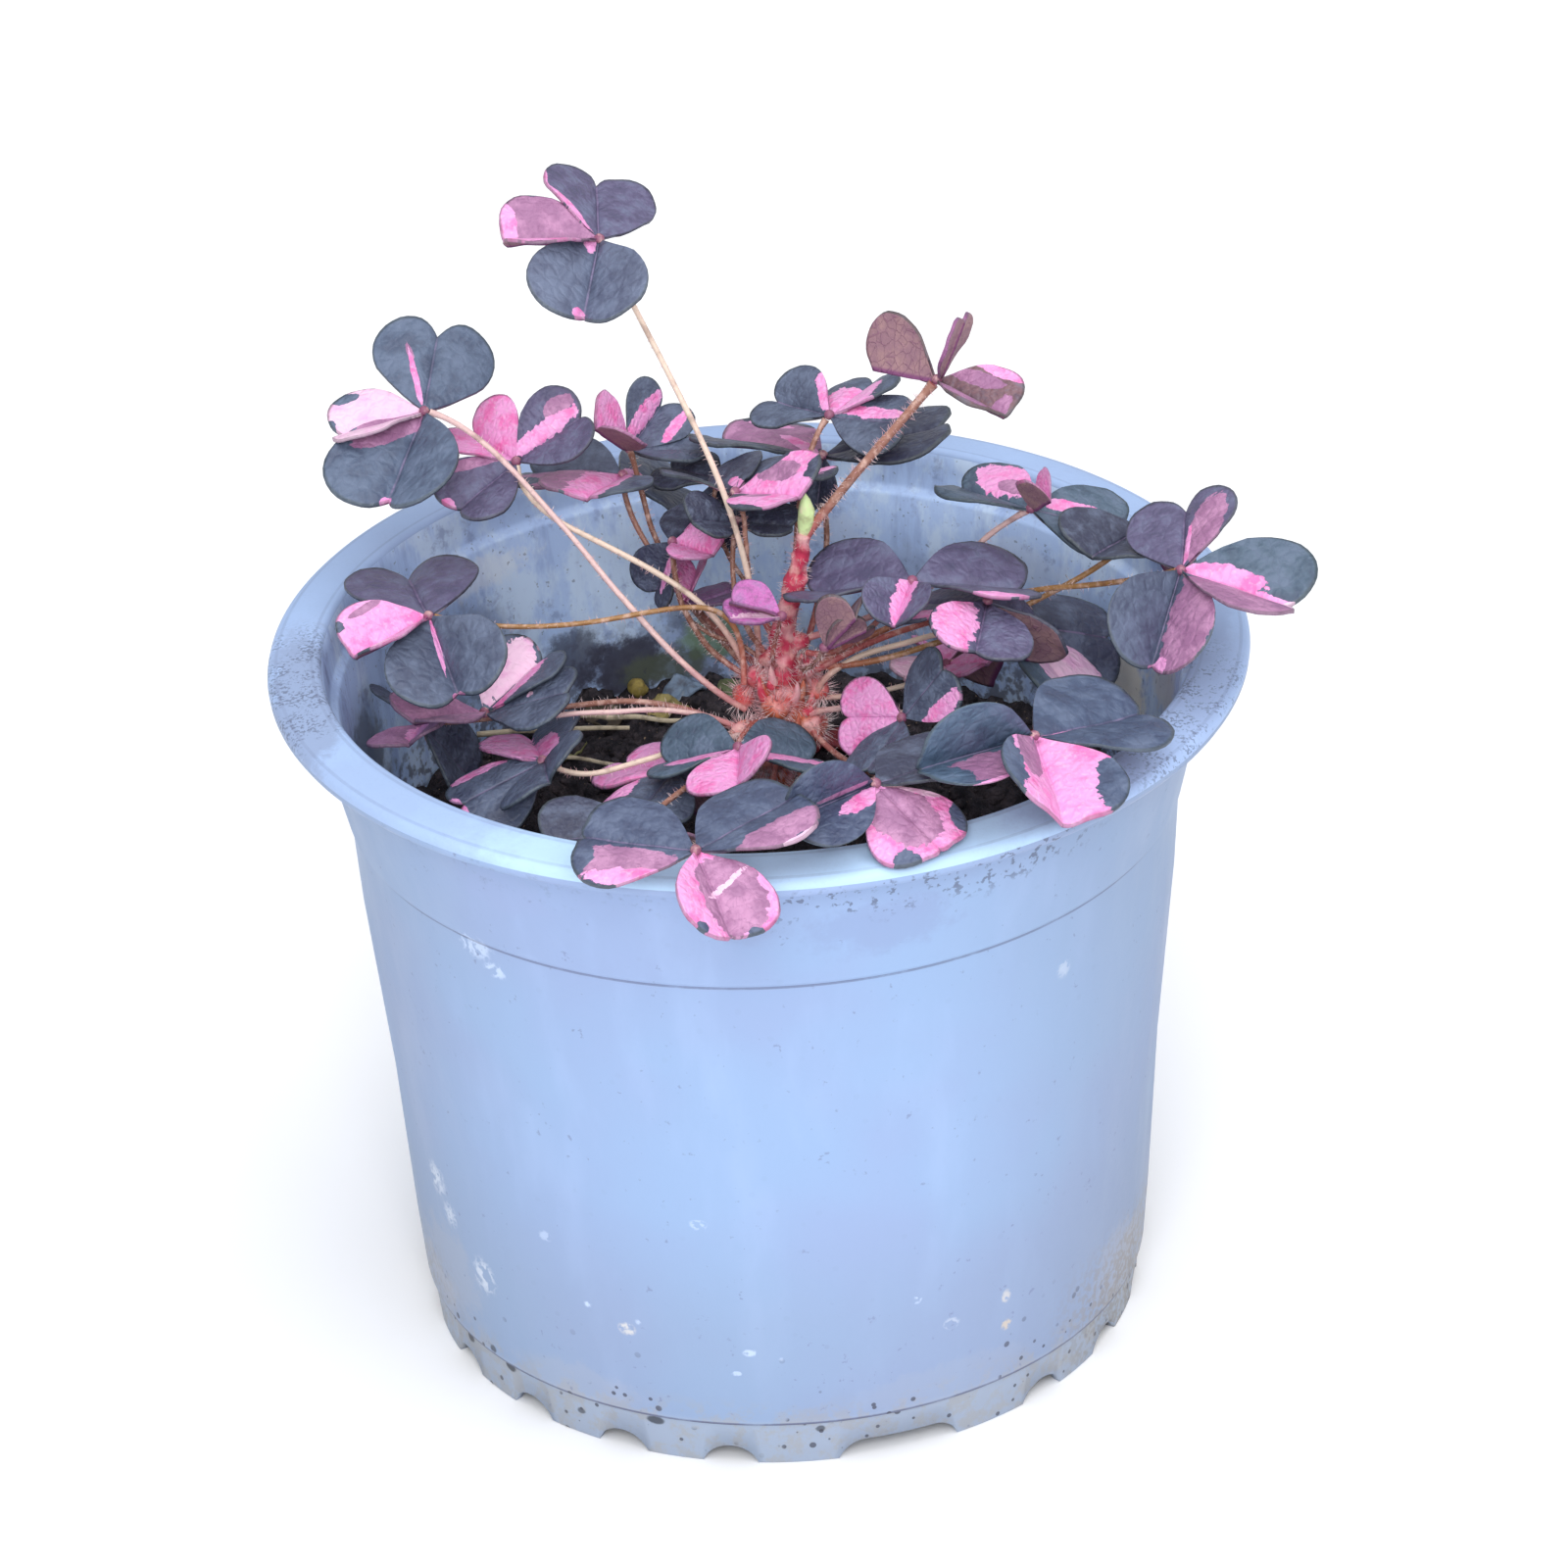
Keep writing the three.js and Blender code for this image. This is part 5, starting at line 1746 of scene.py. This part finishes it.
            Leaflet((-80, -13, -20, 24), scale=0.95, notch=0.09, marks=(
                (PINK, 0.5, 0, 0.9, 0.9), (BLUSH, 0.32, -0.17, 0.34, 0.13, -12),
                (DARK, 0.55, -0.5, 0.4, 0.2), (DARK, 0.7, 0.46, 0.3, 0.17, -10),
            )),
        ),
    ),
    Leaf(
        "inner_pink", (17, -11, 85), 9.3, SLATE, PINKISH,
        ((6, 2, 79), (9.5, 1.5, 80.5), (0.1, 1, -0.1)), 3, 0.5, (
            Leaflet((147, -14, -60, -7), (FULL,)),
            Leaflet((-6, 53, 37, -13), ((PINK, 0.5, -0.4, 0.5, 0.14),)),
            Leaflet((-127, -25, 22, -4)),
        ),
    ),
    Leaf(
        "inner_small", (23, 6, 83), 7, PLUM, CREAM,
        ((7, 5, 80), (9.5, 2.5, 79), (0.9, 0.4, -0.1)), 13.5, 0.45, (
            Leaflet((-148, 5, -3, 0), ((PALE, 0.5, 0, 0.8, 0.8),)),
            Leaflet((101, -8, 6, 30), (FULL,)),
            Leaflet((-36, 18, 3, 3), (FULL,)),
        ),
    ),
    Leaf(
        "bronze", (8, -8, 93.5), 8, BROWN, UMBER,
        ((5, 3, 86), (5, -4, 87), (-0.2, 0.6, -0.8)), 4, 0.45, (
            Leaflet((-5, 28, -50, 12), scale=0.8),
            Leaflet((-35, 50, -30, 50)),
        ),
    ),
    Leaf(
        "magenta", (3, -6, 97), 9.4, MAGENTA, RUST,
        ((2, 2, 86), (1, -2, 88), (-0.1, 0.7, -0.7)), 5.5, 0.4, (
            Leaflet((-165, 8, 2, 14), ((PALE, 0.5, 0.1, 0.5, 0.2),), scale=0.75),
            Leaflet((172, 14, -6, 40), scale=0.7),
        ),
    ),
    Leaf(
        "violet", (-9, 12, 89.5), 7.5, VIOLET, UMBER,
        ((0, 5, 84), (1, 5.5, 88), (0.2, -0.7, -0.7)), 4, 0.4, (
            Leaflet((26, 2, -11, 1)),
            Leaflet((75, 15, -10, 50), (FULL,)),
        ),
    ),
)


@dataclass
class Foliage:
    """All the leaf blades, each a piece that stands for its own packed leaf."""

    rays: int = 22
    steps: int = 18
    thickness: float = 0.42
    cup: float = 0.14
    groove: float = 0.25
    ripple: float = 0.03
    edge_ripple: float = 0.018
    hub_radius: float = 0.68
    hub_tint: Colour = srgb(142, 84, 112)
    seed: int = 11

    def build(self) -> None:
        """Makes every leaf."""
        draw = random.Random(self.seed)
        finishes = [BladeFinish().build(), UndersideFinish().build(), StalkFinish().build()]
        for leaf in LEAVES:
            bm = bmesh.new()
            for leaflet in leaf.leaflets:
                self.add_leaflet(bm, leaf, leaflet, draw.uniform(0, 90))
            self.add_hub(bm, leaf)
            finish_piece(f"blade_{leaf.name}", bm, finishes, (f"leaf_{leaf.name}",))

    @staticmethod
    def directions(pose: Pose) -> tuple[Vector, Vector, Vector, Vector]:
        """Directions of a leaflet.

        Args:
            pose: Heading, rise, roll and fold in degrees.

        Returns:
            Along the midrib, the normal, and out along the left and right halves.
        """
        heading, rise, roll, fold = (math.radians(value) for value in pose)
        level = Vector((math.cos(heading), math.sin(heading), 0.0))
        along = level * math.cos(rise) + Vector((0.0, 0.0, math.sin(rise)))
        flat = Vector((-math.sin(heading), math.cos(heading), 0.0))
        side = flat * math.cos(roll) + along.cross(flat) * math.sin(roll)
        normal = along.cross(side)
        left = side * math.cos(fold) + normal * math.sin(fold)
        right = side * -math.cos(fold) + normal * math.sin(fold)
        return along, normal, left, right

    @staticmethod
    def outline(across: float, notch: float) -> tuple[float, float]:
        """A point of a leaflet's outline.

        Args:
            across: Where on it, from the base at -1 by the tip's notch at 0 back to the base.
            notch: How much the notch is filled.

        Returns:
            Its places along the midrib and to the left.
        """
        along = abs(across) * (len(OUTLINE) - 1)
        index = min(int(along), len(OUTLINE) - 2)
        share = along - index
        (u0, v0), (u1, v1) = OUTLINE[index], OUTLINE[index + 1]
        u, v = u0 + (u1 - u0) * share, v0 + (v1 - v0) * share
        if u > 0.5:
            u += notch * math.exp(-((v / 0.11) ** 2))
        return u, v if across >= 0 else -v

    @staticmethod
    def field(leaflet: Leaflet, kind: Mark, u: float, v: float) -> float:
        """How far inside a leaflet's marks of one kind a point lies.

        Args:
            leaflet: The leaflet.
            kind: The kind of mark.
            u: Its place along the midrib.
            v: Its place to the left.

        Returns:
            1 in the middle of a mark, 0 on its edge, down to -1 away from all.
        """
        nearest = -1.0
        for mark, mu, mv, ru, rv, *turned in leaflet.marks:
            if mark is kind:
                turn = math.radians(turned[0] if turned else 0.0)
                du, dv = u - mu, v - mv
                along = du * math.cos(turn) + dv * math.sin(turn)
                beside = dv * math.cos(turn) - du * math.sin(turn)
                nearest = max(nearest, 1.0 - math.hypot(along / ru, beside / rv))
        return nearest

    def lifted(self, u: float, v: float, reach: float, size: float, seed: float) -> float:
        """How far a leaflet's surface stands above its two flat halves.

        Args:
            u: Place along the midrib.
            v: Place to the left.
            reach: How far out from the base the point is, 1 on the rim.
            size: The leaflet's length, in millimetres.
            seed: Where its ripples start.

        Returns:
            The height along the leaflet's normal, in millimetres.
        """
        width = abs(v) / 0.55
        height = self.cup * size * width * (1 - 0.9 * width) * min(1.0, u * 3)
        height -= self.groove * math.exp(-((v / 0.03) ** 2)) * min(1.0, u * 8)
        height += self.ripple * size * noise.noise(Vector((u * 2.6, v * 2.6, seed))) * reach
        edge = noise.noise(Vector((u * 6.0, v * 6.0, seed + 9)))
        return height + self.edge_ripple * size * edge * reach**3

    def add_leaflet(self, bm: bmesh.types.BMesh, leaf: Leaf, leaflet: Leaflet, seed: float) -> None:
        """Adds one leaflet with its colour fields.

        Args:
            bm: The leaf being built.
            leaf: The leaf it belongs to.
            leaflet: The leaflet.
            seed: Where its patterns start.
        """
        along, normal, left, right = self.directions(leaflet.pose)
        size = leaf.size * leaflet.scale
        blade = bmesh.new()
        colours = {
            name: blade.verts.layers.float_color.new(name) for name in ("marks", "tone", "under")
        }
        values = {
            name: blade.verts.layers.float.new(name)
            for name in ("rim", "blush", "dark_marks", "seed")
        }
        uv = blade.loops.layers.uv.new("UVMap")
        bmesh.ops.create_grid(blade, x_segments=2 * self.rays, y_segments=self.steps, size=1.0)
        flat: dict[bmesh.types.BMVert, tuple[float, float]] = {}
        for vert in blade.verts:
            reach = 0.045 + 0.955 * ((vert.co.y + 1.0) / 2) ** 0.8
            u, v = (value * reach for value in self.outline(vert.co.x, leaflet.notch))
            flat[vert] = (u, v)
            at = Vector(leaf.hub) + (along * u + (left if v >= 0 else right) * abs(v)) * size
            at += normal * self.lifted(u, v, reach, size, seed)
            vert.co = (at + POT_AXIS) * MM
            pink, pale, mauve, blush, dark = (
                self.field(leaflet, kind, u, v) for kind in (PINK, PALE, MAUVE, BLUSH, DARK)
            )
            vert[colours["marks"]] = (pink, pale, mauve, 1.0)
            vert[colours["tone"]] = (*(leaflet.tone or leaf.tone), 1.0)
            vert[colours["under"]] = (*leaf.under, 1.0)
            vert[values["blush"]] = blush
            vert[values["dark_marks"]] = dark
            vert[values["rim"]] = reach
            vert[values["seed"]] = seed
        for face in blade.faces:
            for loop in face.loops:
                loop[uv].uv = flat[loop.vert]
        self.thicken(blade, normal)
        add_mesh(bm, mesh_of(blade, "leaflet"))

    def thicken(self, blade: bmesh.types.BMesh, normal: Vector) -> None:
        """Gives a flat blade its thickness, with the underside's finish below.

        Args:
            blade: The blade.
            normal: Which way it faces.
        """
        bmesh.ops.recalc_face_normals(blade, faces=blade.faces)
        if sum((face.normal for face in blade.faces), Vector()).dot(normal) < 0:
            bmesh.ops.reverse_faces(blade, faces=blade.faces)
        made = bmesh.ops.extrude_face_region(blade, geom=list(blade.faces), use_keep_orig=True)
        lower = {item for item in made["geom"] if isinstance(item, bmesh.types.BMVert)}
        for vert in lower:
            vert.co -= normal * self.thickness * MM
        for face in blade.faces:
            face.material_index = 1 if all(vert in lower for vert in face.verts) else 0
        bmesh.ops.recalc_face_normals(blade, faces=blade.faces)

    def add_hub(self, bm: bmesh.types.BMesh, leaf: Leaf) -> None:
        """Adds the small knob the leaflets meet in.

        Args:
            bm: The leaf being built.
            leaf: The leaf.
        """
        knob = bmesh.new()
        bmesh.ops.create_icosphere(knob, subdivisions=2, radius=self.hub_radius * MM)
        bmesh.ops.translate(knob, verts=knob.verts, vec=place(*leaf.hub))
        for face in knob.faces:
            face.material_index = 2
        add_tinted(bm, mesh_of(knob, "knob"), [self.hub_tint])


# ---- Stem, crown, stalks and hairs ----


@dataclass
class Stems:
    """The crimson main stem, its knobbly crown, the leaf stalks and the bud."""

    stem: tuple[tuple[float, float, float, float], ...] = (
        (1, 4, 48.4, 2.3), (1, 4, 57, 2.3), (1, 4, 64, 2.3), (1.4, 4, 70, 2.4), (2.2, 4, 76, 2.7),
        (2.8, 4, 80, 2.5), (2.7, 4, 85, 1.9), (3.2, 4, 90, 1.5), (5, 4, 97, 1.25),
        (6.2, 4, 103, 1.0),
    )
    lumps: tuple[tuple[float, float, float, float], ...] = (
        (-2, 3, 76, 1.9), (6, 3, 77, 2.2), (1, 0.8, 74, 2.1), (4, 7, 79, 1.9), (-2, 5.5, 80, 1.6),
        (7, 5, 81, 1.6), (2, 1.4, 80.5, 1.8), (-0.6, 4.6, 83, 1.6), (5.4, 4.6, 84, 1.6),
        (3.4, 6.2, 85, 1.4), (1.2, 3, 86.5, 1.2), (5, 4, 88, 1.2), (-2.4, 2.4, 76.5, 1.7),
        (2.6, 4.2, 88.5, 1.3),
    )
    bud: tuple[tuple[float, float, float, float], ...] = (
        (6.1, 4, 102.5, 0.6), (6.4, 4, 104.4, 1.0), (6.6, 4, 106.1, 1.02), (6.5, 4, 107.5, 0.6),
        (6.4, 4, 108.5, 0.12),
    )
    crimson: Colour = srgb(200, 58, 88)
    rust: Colour = srgb(206, 108, 76)
    fuzz: Colour = srgb(250, 196, 200)
    bud_green: Colour = srgb(216, 238, 172)
    stalk_base: Colour = srgb(200, 92, 104)
    scale_tints: tuple[Colour, ...] = (
        srgb(222, 96, 124), srgb(206, 116, 92), srgb(240, 172, 180), srgb(190, 96, 76),
        srgb(212, 72, 96), srgb(232, 132, 140),
    )
    slimmer: float = 0.7
    flare: float = 0.2
    scales: int = 30
    scale_steps: int = 6
    stalk_steps: int = 40
    hairy_from: float = 64.0
    neck: float = 86.0
    seed: int = 23
    hairs: list[tuple[Vector, Vector, float]] = field(default_factory=list)

    def build(self) -> None:
        """Makes the stems as one piece and their hairs as another."""
        draw = random.Random(self.seed)
        bm = bmesh.new()
        self.add_crown(bm, draw)
        for _ in range(self.scales):
            self.add_scale(bm, draw)
        for leaf in LEAVES:
            self.add_stalk(bm, leaf, draw)
        add_tinted(bm, self.tube(self.bud, 5), [self.bud_green])
        finish_piece("stem_and_stalks", bm, [StalkFinish().build()], ("stems",))
        self.build_hairs(draw)

    @staticmethod
    def tube(rings: tuple[tuple[float, float, float, float], ...], sides: int) -> bpy.types.Mesh:
        """A tube through rings given as place and radius, in millimetres."""
        return swept_tube([place(*at) for *at, _ in rings], [r * MM for *_, r in rings], sides)

    def add_crown(self, bm: bmesh.types.BMesh, draw: random.Random) -> None:
        """Adds the main stem with its knobbly crown.

        Args:
            bm: The stems being built.
            draw: The source of chance.
        """
        raw = bmesh.new()
        add_mesh(raw, self.tube(self.stem, 6))
        for x, y, z, radius in self.lumps:
            made = bmesh.ops.create_icosphere(raw, subdivisions=3, radius=radius * MM)
            bmesh.ops.translate(raw, verts=made["verts"], vec=place(x, y, z))
        body = fused(raw, 0.32 * MM)
        crimson, rust, fuzz = (Vector(tone) for tone in (self.crimson, self.rust, self.fuzz))
        tints = []
        for vert in body.verts:
            bump = noise.noise(vert.co * 420.0) * 0.4 + noise.noise(vert.co * 1100.0) * 0.22
            z = vert.co.z / MM
            vert.co += vert.normal * bump * MM * min(1.0, max(0.2, (z - 66) / 8))
            rusty = max(0.0, min(1.0, (84 - z) / 5)) * (0.75 + noise.noise(vert.co * 260.0))
            tint = crimson.lerp(rust, max(0.0, min(1.0, rusty)))
            pale = max(0.0, noise.noise(vert.co * 520.0 + Vector((4.0, 0.0, 0.0)))) * 1.5
            tints.append(tuple(tint.lerp(fuzz, min(0.7, pale))))
            chance, lengths = (0.28, (0.9, 2.2)) if z < self.neck else (0.12, (0.5, 1.1))
            if z > self.hairy_from and draw.random() < chance:
                self.hairs.append((vert.co.copy(), vert.normal.copy(), draw.uniform(*lengths)))
        add_tinted(bm, mesh_of(body, "crown"), tints)

    def add_scale(self, bm: bmesh.types.BMesh, draw: random.Random) -> None:
        """Adds one pointed scale or old stalk base on the crown.

        Args:
            bm: The stems being built.
            draw: The source of chance.
        """
        turn = draw.uniform(0, math.tau)
        z = draw.triangular(70.0, 90.0, 77.0)
        wide = 1.2 + 2.6 * max(0.0, 1.0 - abs(z - 77.0) / 10.0)
        out = Vector((math.cos(turn), math.sin(turn), 0.0))
        start = Vector((2.4, 4.0, z)) + out * wide
        length = draw.uniform(1.4, 3.2)
        rise = draw.uniform(0.3, 1.4)
        points, radii = [], []
        for index in range(self.scale_steps + 1):
            t = index / self.scale_steps
            way = out * (1.0 - 0.4 * t) + Vector((0.0, 0.0, rise * (0.6 + t)))
            points.append((start + way * length * t * 0.6 + POT_AXIS) * MM)
            radii.append((0.5 * (1.0 - t * t) ** 0.6 + 0.08) * MM)
        add_tinted(bm, swept_tube(points, radii, 2), [draw.choice(self.scale_tints)])
        for _ in range(9):
            index = draw.randrange(1, self.scale_steps)
            away = Vector((draw.gauss(0, 1), draw.gauss(0, 1), draw.gauss(0, 1))).normalized()
            self.hairs.append((points[index], away, draw.uniform(0.8, 1.8)))

    def add_stalk(self, bm: bmesh.types.BMesh, leaf: Leaf, draw: random.Random) -> None:
        """Adds one leaf stalk from the crown to its leaf.

        Args:
            bm: The stems being built.
            leaf: The leaf it carries.
            draw: The source of chance.
        """
        root, lift, arrive = (Vector(point) for point in leaf.stalk)
        towards = arrive.normalized()
        tip = Vector(leaf.hub) + towards * 0.7
        bend = tip + towards * leaf.reach
        count = self.stalk_steps
        points, radii = [], []
        phase = draw.uniform(0, 50)
        for index in range(count + 1):
            t = index / count
            s = 1 - t
            at = root * s**3 + lift * 3 * s * s * t + bend * 3 * s * t * t + tip * t**3
            sway = noise.noise_vector(Vector((t * 6.0, phase, 0.0))) * 0.22 * math.sin(math.pi * t)
            points.append((at + sway + POT_AXIS) * MM)
            swell = 1.0 + 0.35 * math.exp(-((s / 0.035) ** 2))
            swell += 0.1 * noise.noise(Vector((t * 14.0, phase, 3.0))) + self.flare * s * s
            radii.append(leaf.radius * self.slimmer * MM * swell)
        mesh = swept_tube(points, radii, 4)
        ring = len(mesh.vertices) // (count + 1)
        tint, base = Vector(leaf.tint), Vector(self.stalk_base)
        tints = [
            tuple(tint.lerp(base, 0.8 * max(0.0, 1.0 - 3.2 * (index // ring) / count)))
            for index in range(len(mesh.vertices))
        ]
        add_tinted(bm, mesh, tints)
        self.stalk_hairs(points, radii, 2.2 if leaf.radius > 0.6 else 1.0, draw)

    def stalk_hairs(
        self, points: list[Vector], radii: list[float], growth: float, draw: random.Random
    ) -> None:
        """Roots hairs along a stalk.

        Args:
            points: The stalk's centre line.
            radii: Its radii.
            growth: How many and how long the hairs are, 1 for a usual stalk.
            draw: The source of chance.
        """
        for index in range(2, len(points) - 2):
            axis = (points[index + 1] - points[index]).normalized()
            for _ in range(int(4 * growth)):
                away = Vector((draw.gauss(0, 1), draw.gauss(0, 1), draw.gauss(0, 1)))
                away = (away - axis * away.dot(axis)).normalized()
                start = points[index].lerp(points[index + 1], draw.random())
                lean = (away + axis * draw.uniform(-0.2, 0.5)).normalized()
                length = draw.uniform(0.35, 0.8) * (1.5 if growth > 1 else 1.0)
                self.hairs.append((start + away * radii[index] * 0.9, lean, length))

    def build_hairs(self, draw: random.Random) -> None:
        """Makes the hairs, each a thin spike rooted in the skin.

        Args:
            draw: The source of chance.
        """
        spike = bmesh.new()
        bmesh.ops.create_cone(spike, cap_ends=True, segments=3, radius1=1.0, radius2=0.2, depth=1.0)
        bmesh.ops.translate(spike, verts=spike.verts, vec=(0.0, 0.0, 0.42))
        shape = mesh_of(spike, "spike")
        bm = bmesh.new()
        up = Vector((0.0, 0.0, 1.0))
        for start, away, length in self.hairs:
            stray = Vector((draw.gauss(0, 0.25), draw.gauss(0, 0.25), draw.gauss(0, 0.25)))
            turn = up.rotation_difference((away + stray).normalized()).to_matrix().to_4x4()
            thick = (0.03 + 0.016 * length) * MM
            scale = Matrix.Diagonal((thick, thick, length * MM, 1.0))
            grown = shape.copy()
            grown.transform(Matrix.Translation(start) @ turn @ scale)
            add_mesh(bm, grown)
        bpy.data.meshes.remove(shape)
        finish_piece("stem_hairs", bm, [HairFinish().build()])


# ---- Studio ----


@dataclass
class Studio:
    """Pale floor, soft light and the camera."""

    eye: Triple = (2.3886, -786.104, 508.630)
    right: Triple = (0.99901726, -0.02158148, -0.03871374)
    down: Triple = (-0.04432284, -0.486437, -0.8725907)
    ahead: Triple = (0.0, 0.87344908, -0.48691551)
    lens: float = 167.35
    paper: tuple[Colour, Colour] = (srgb(250, 250, 251), srgb(247, 247, 249))
    air: tuple[float, float, float, float] = (0.93, 0.96, 1.0, 1.0)
    air_strength: float = 0.48
    sky_strength: float = 2.15
    sky_spread: float = 80.0
    sky_place: Triple = (0.15, -0.25, 1.0)
    key_power: float = 8.0
    key_size: float = 0.5
    key_place: Triple = (-0.05, -1.05, 0.75)

    def build(self) -> None:
        """Makes the floor, the lights and the camera."""
        self.floor()
        self.lights()
        self.camera()

    def floor(self) -> None:
        """A plain pale floor."""
        bm = bmesh.new()
        bmesh.ops.create_grid(bm, x_segments=1, y_segments=1, size=6.0)
        mesh = mesh_of(bm, "floor")
        s = Shading("floor_paper", 0.9, 0.2)
        mesh.materials.append(s.done(s.mix(s.noise(s.at(), 30.0, 2.0), *self.paper)))
        holder_of(mesh)

    def lights(self) -> None:
        """Soft daylight from above with a broad lamp near the camera."""
        world = bpy.data.worlds.new("studio")
        bpy.context.scene.world = world
        world.use_nodes = True
        ground = world.node_tree.nodes["Background"]
        ground.inputs["Color"].default_value = self.air
        ground.inputs["Strength"].default_value = self.air_strength
        sky = bpy.data.lights.new("sky", "SUN")
        sky.energy = self.sky_strength
        sky.angle = math.radians(self.sky_spread)
        self.hang(sky, self.sky_place)
        key = bpy.data.lights.new("key", "AREA")
        key.size = self.key_size
        key.energy = self.key_power
        self.hang(key, self.key_place)

    @staticmethod
    def hang(lamp: bpy.types.Light, spot: Triple) -> None:
        """Places a lamp and turns it to the plant."""
        holder = bpy.data.objects.new(lamp.name, lamp)
        holder.location = spot
        aim = Vector((0.0, 0.0, 0.08)) - Vector(spot)
        holder.rotation_euler = aim.to_track_quat("-Z", "Y").to_euler()
        bpy.context.scene.collection.objects.link(holder)

    def camera(self) -> None:
        """The camera at the plant's portrait angle."""
        lens = bpy.data.cameras.new("camera")
        lens.lens = self.lens
        lens.sensor_width = 36.0
        lens.clip_start = 0.01
        lens.clip_end = 50.0
        camera = bpy.data.objects.new("camera", lens)
        axes = Matrix((self.right, [-v for v in self.down], [-v for v in self.ahead])).transposed()
        camera.matrix_world = Matrix.Translation(place(*self.eye)) @ axes.to_4x4()
        bpy.context.scene.collection.objects.link(camera)
        bpy.context.scene.camera = camera
        bpy.context.scene.view_settings.view_transform = "Standard"


def main() -> None:
    """Builds every piece of the plant in order."""
    logging.basicConfig(level=logging.INFO, format="%(name)s %(message)s")
    Studio().build()
    Pot().build()
    Soil().build()
    Litter().build()
    Stems().build()
    Foliage().build()


if __name__ == "__main__":
    main()
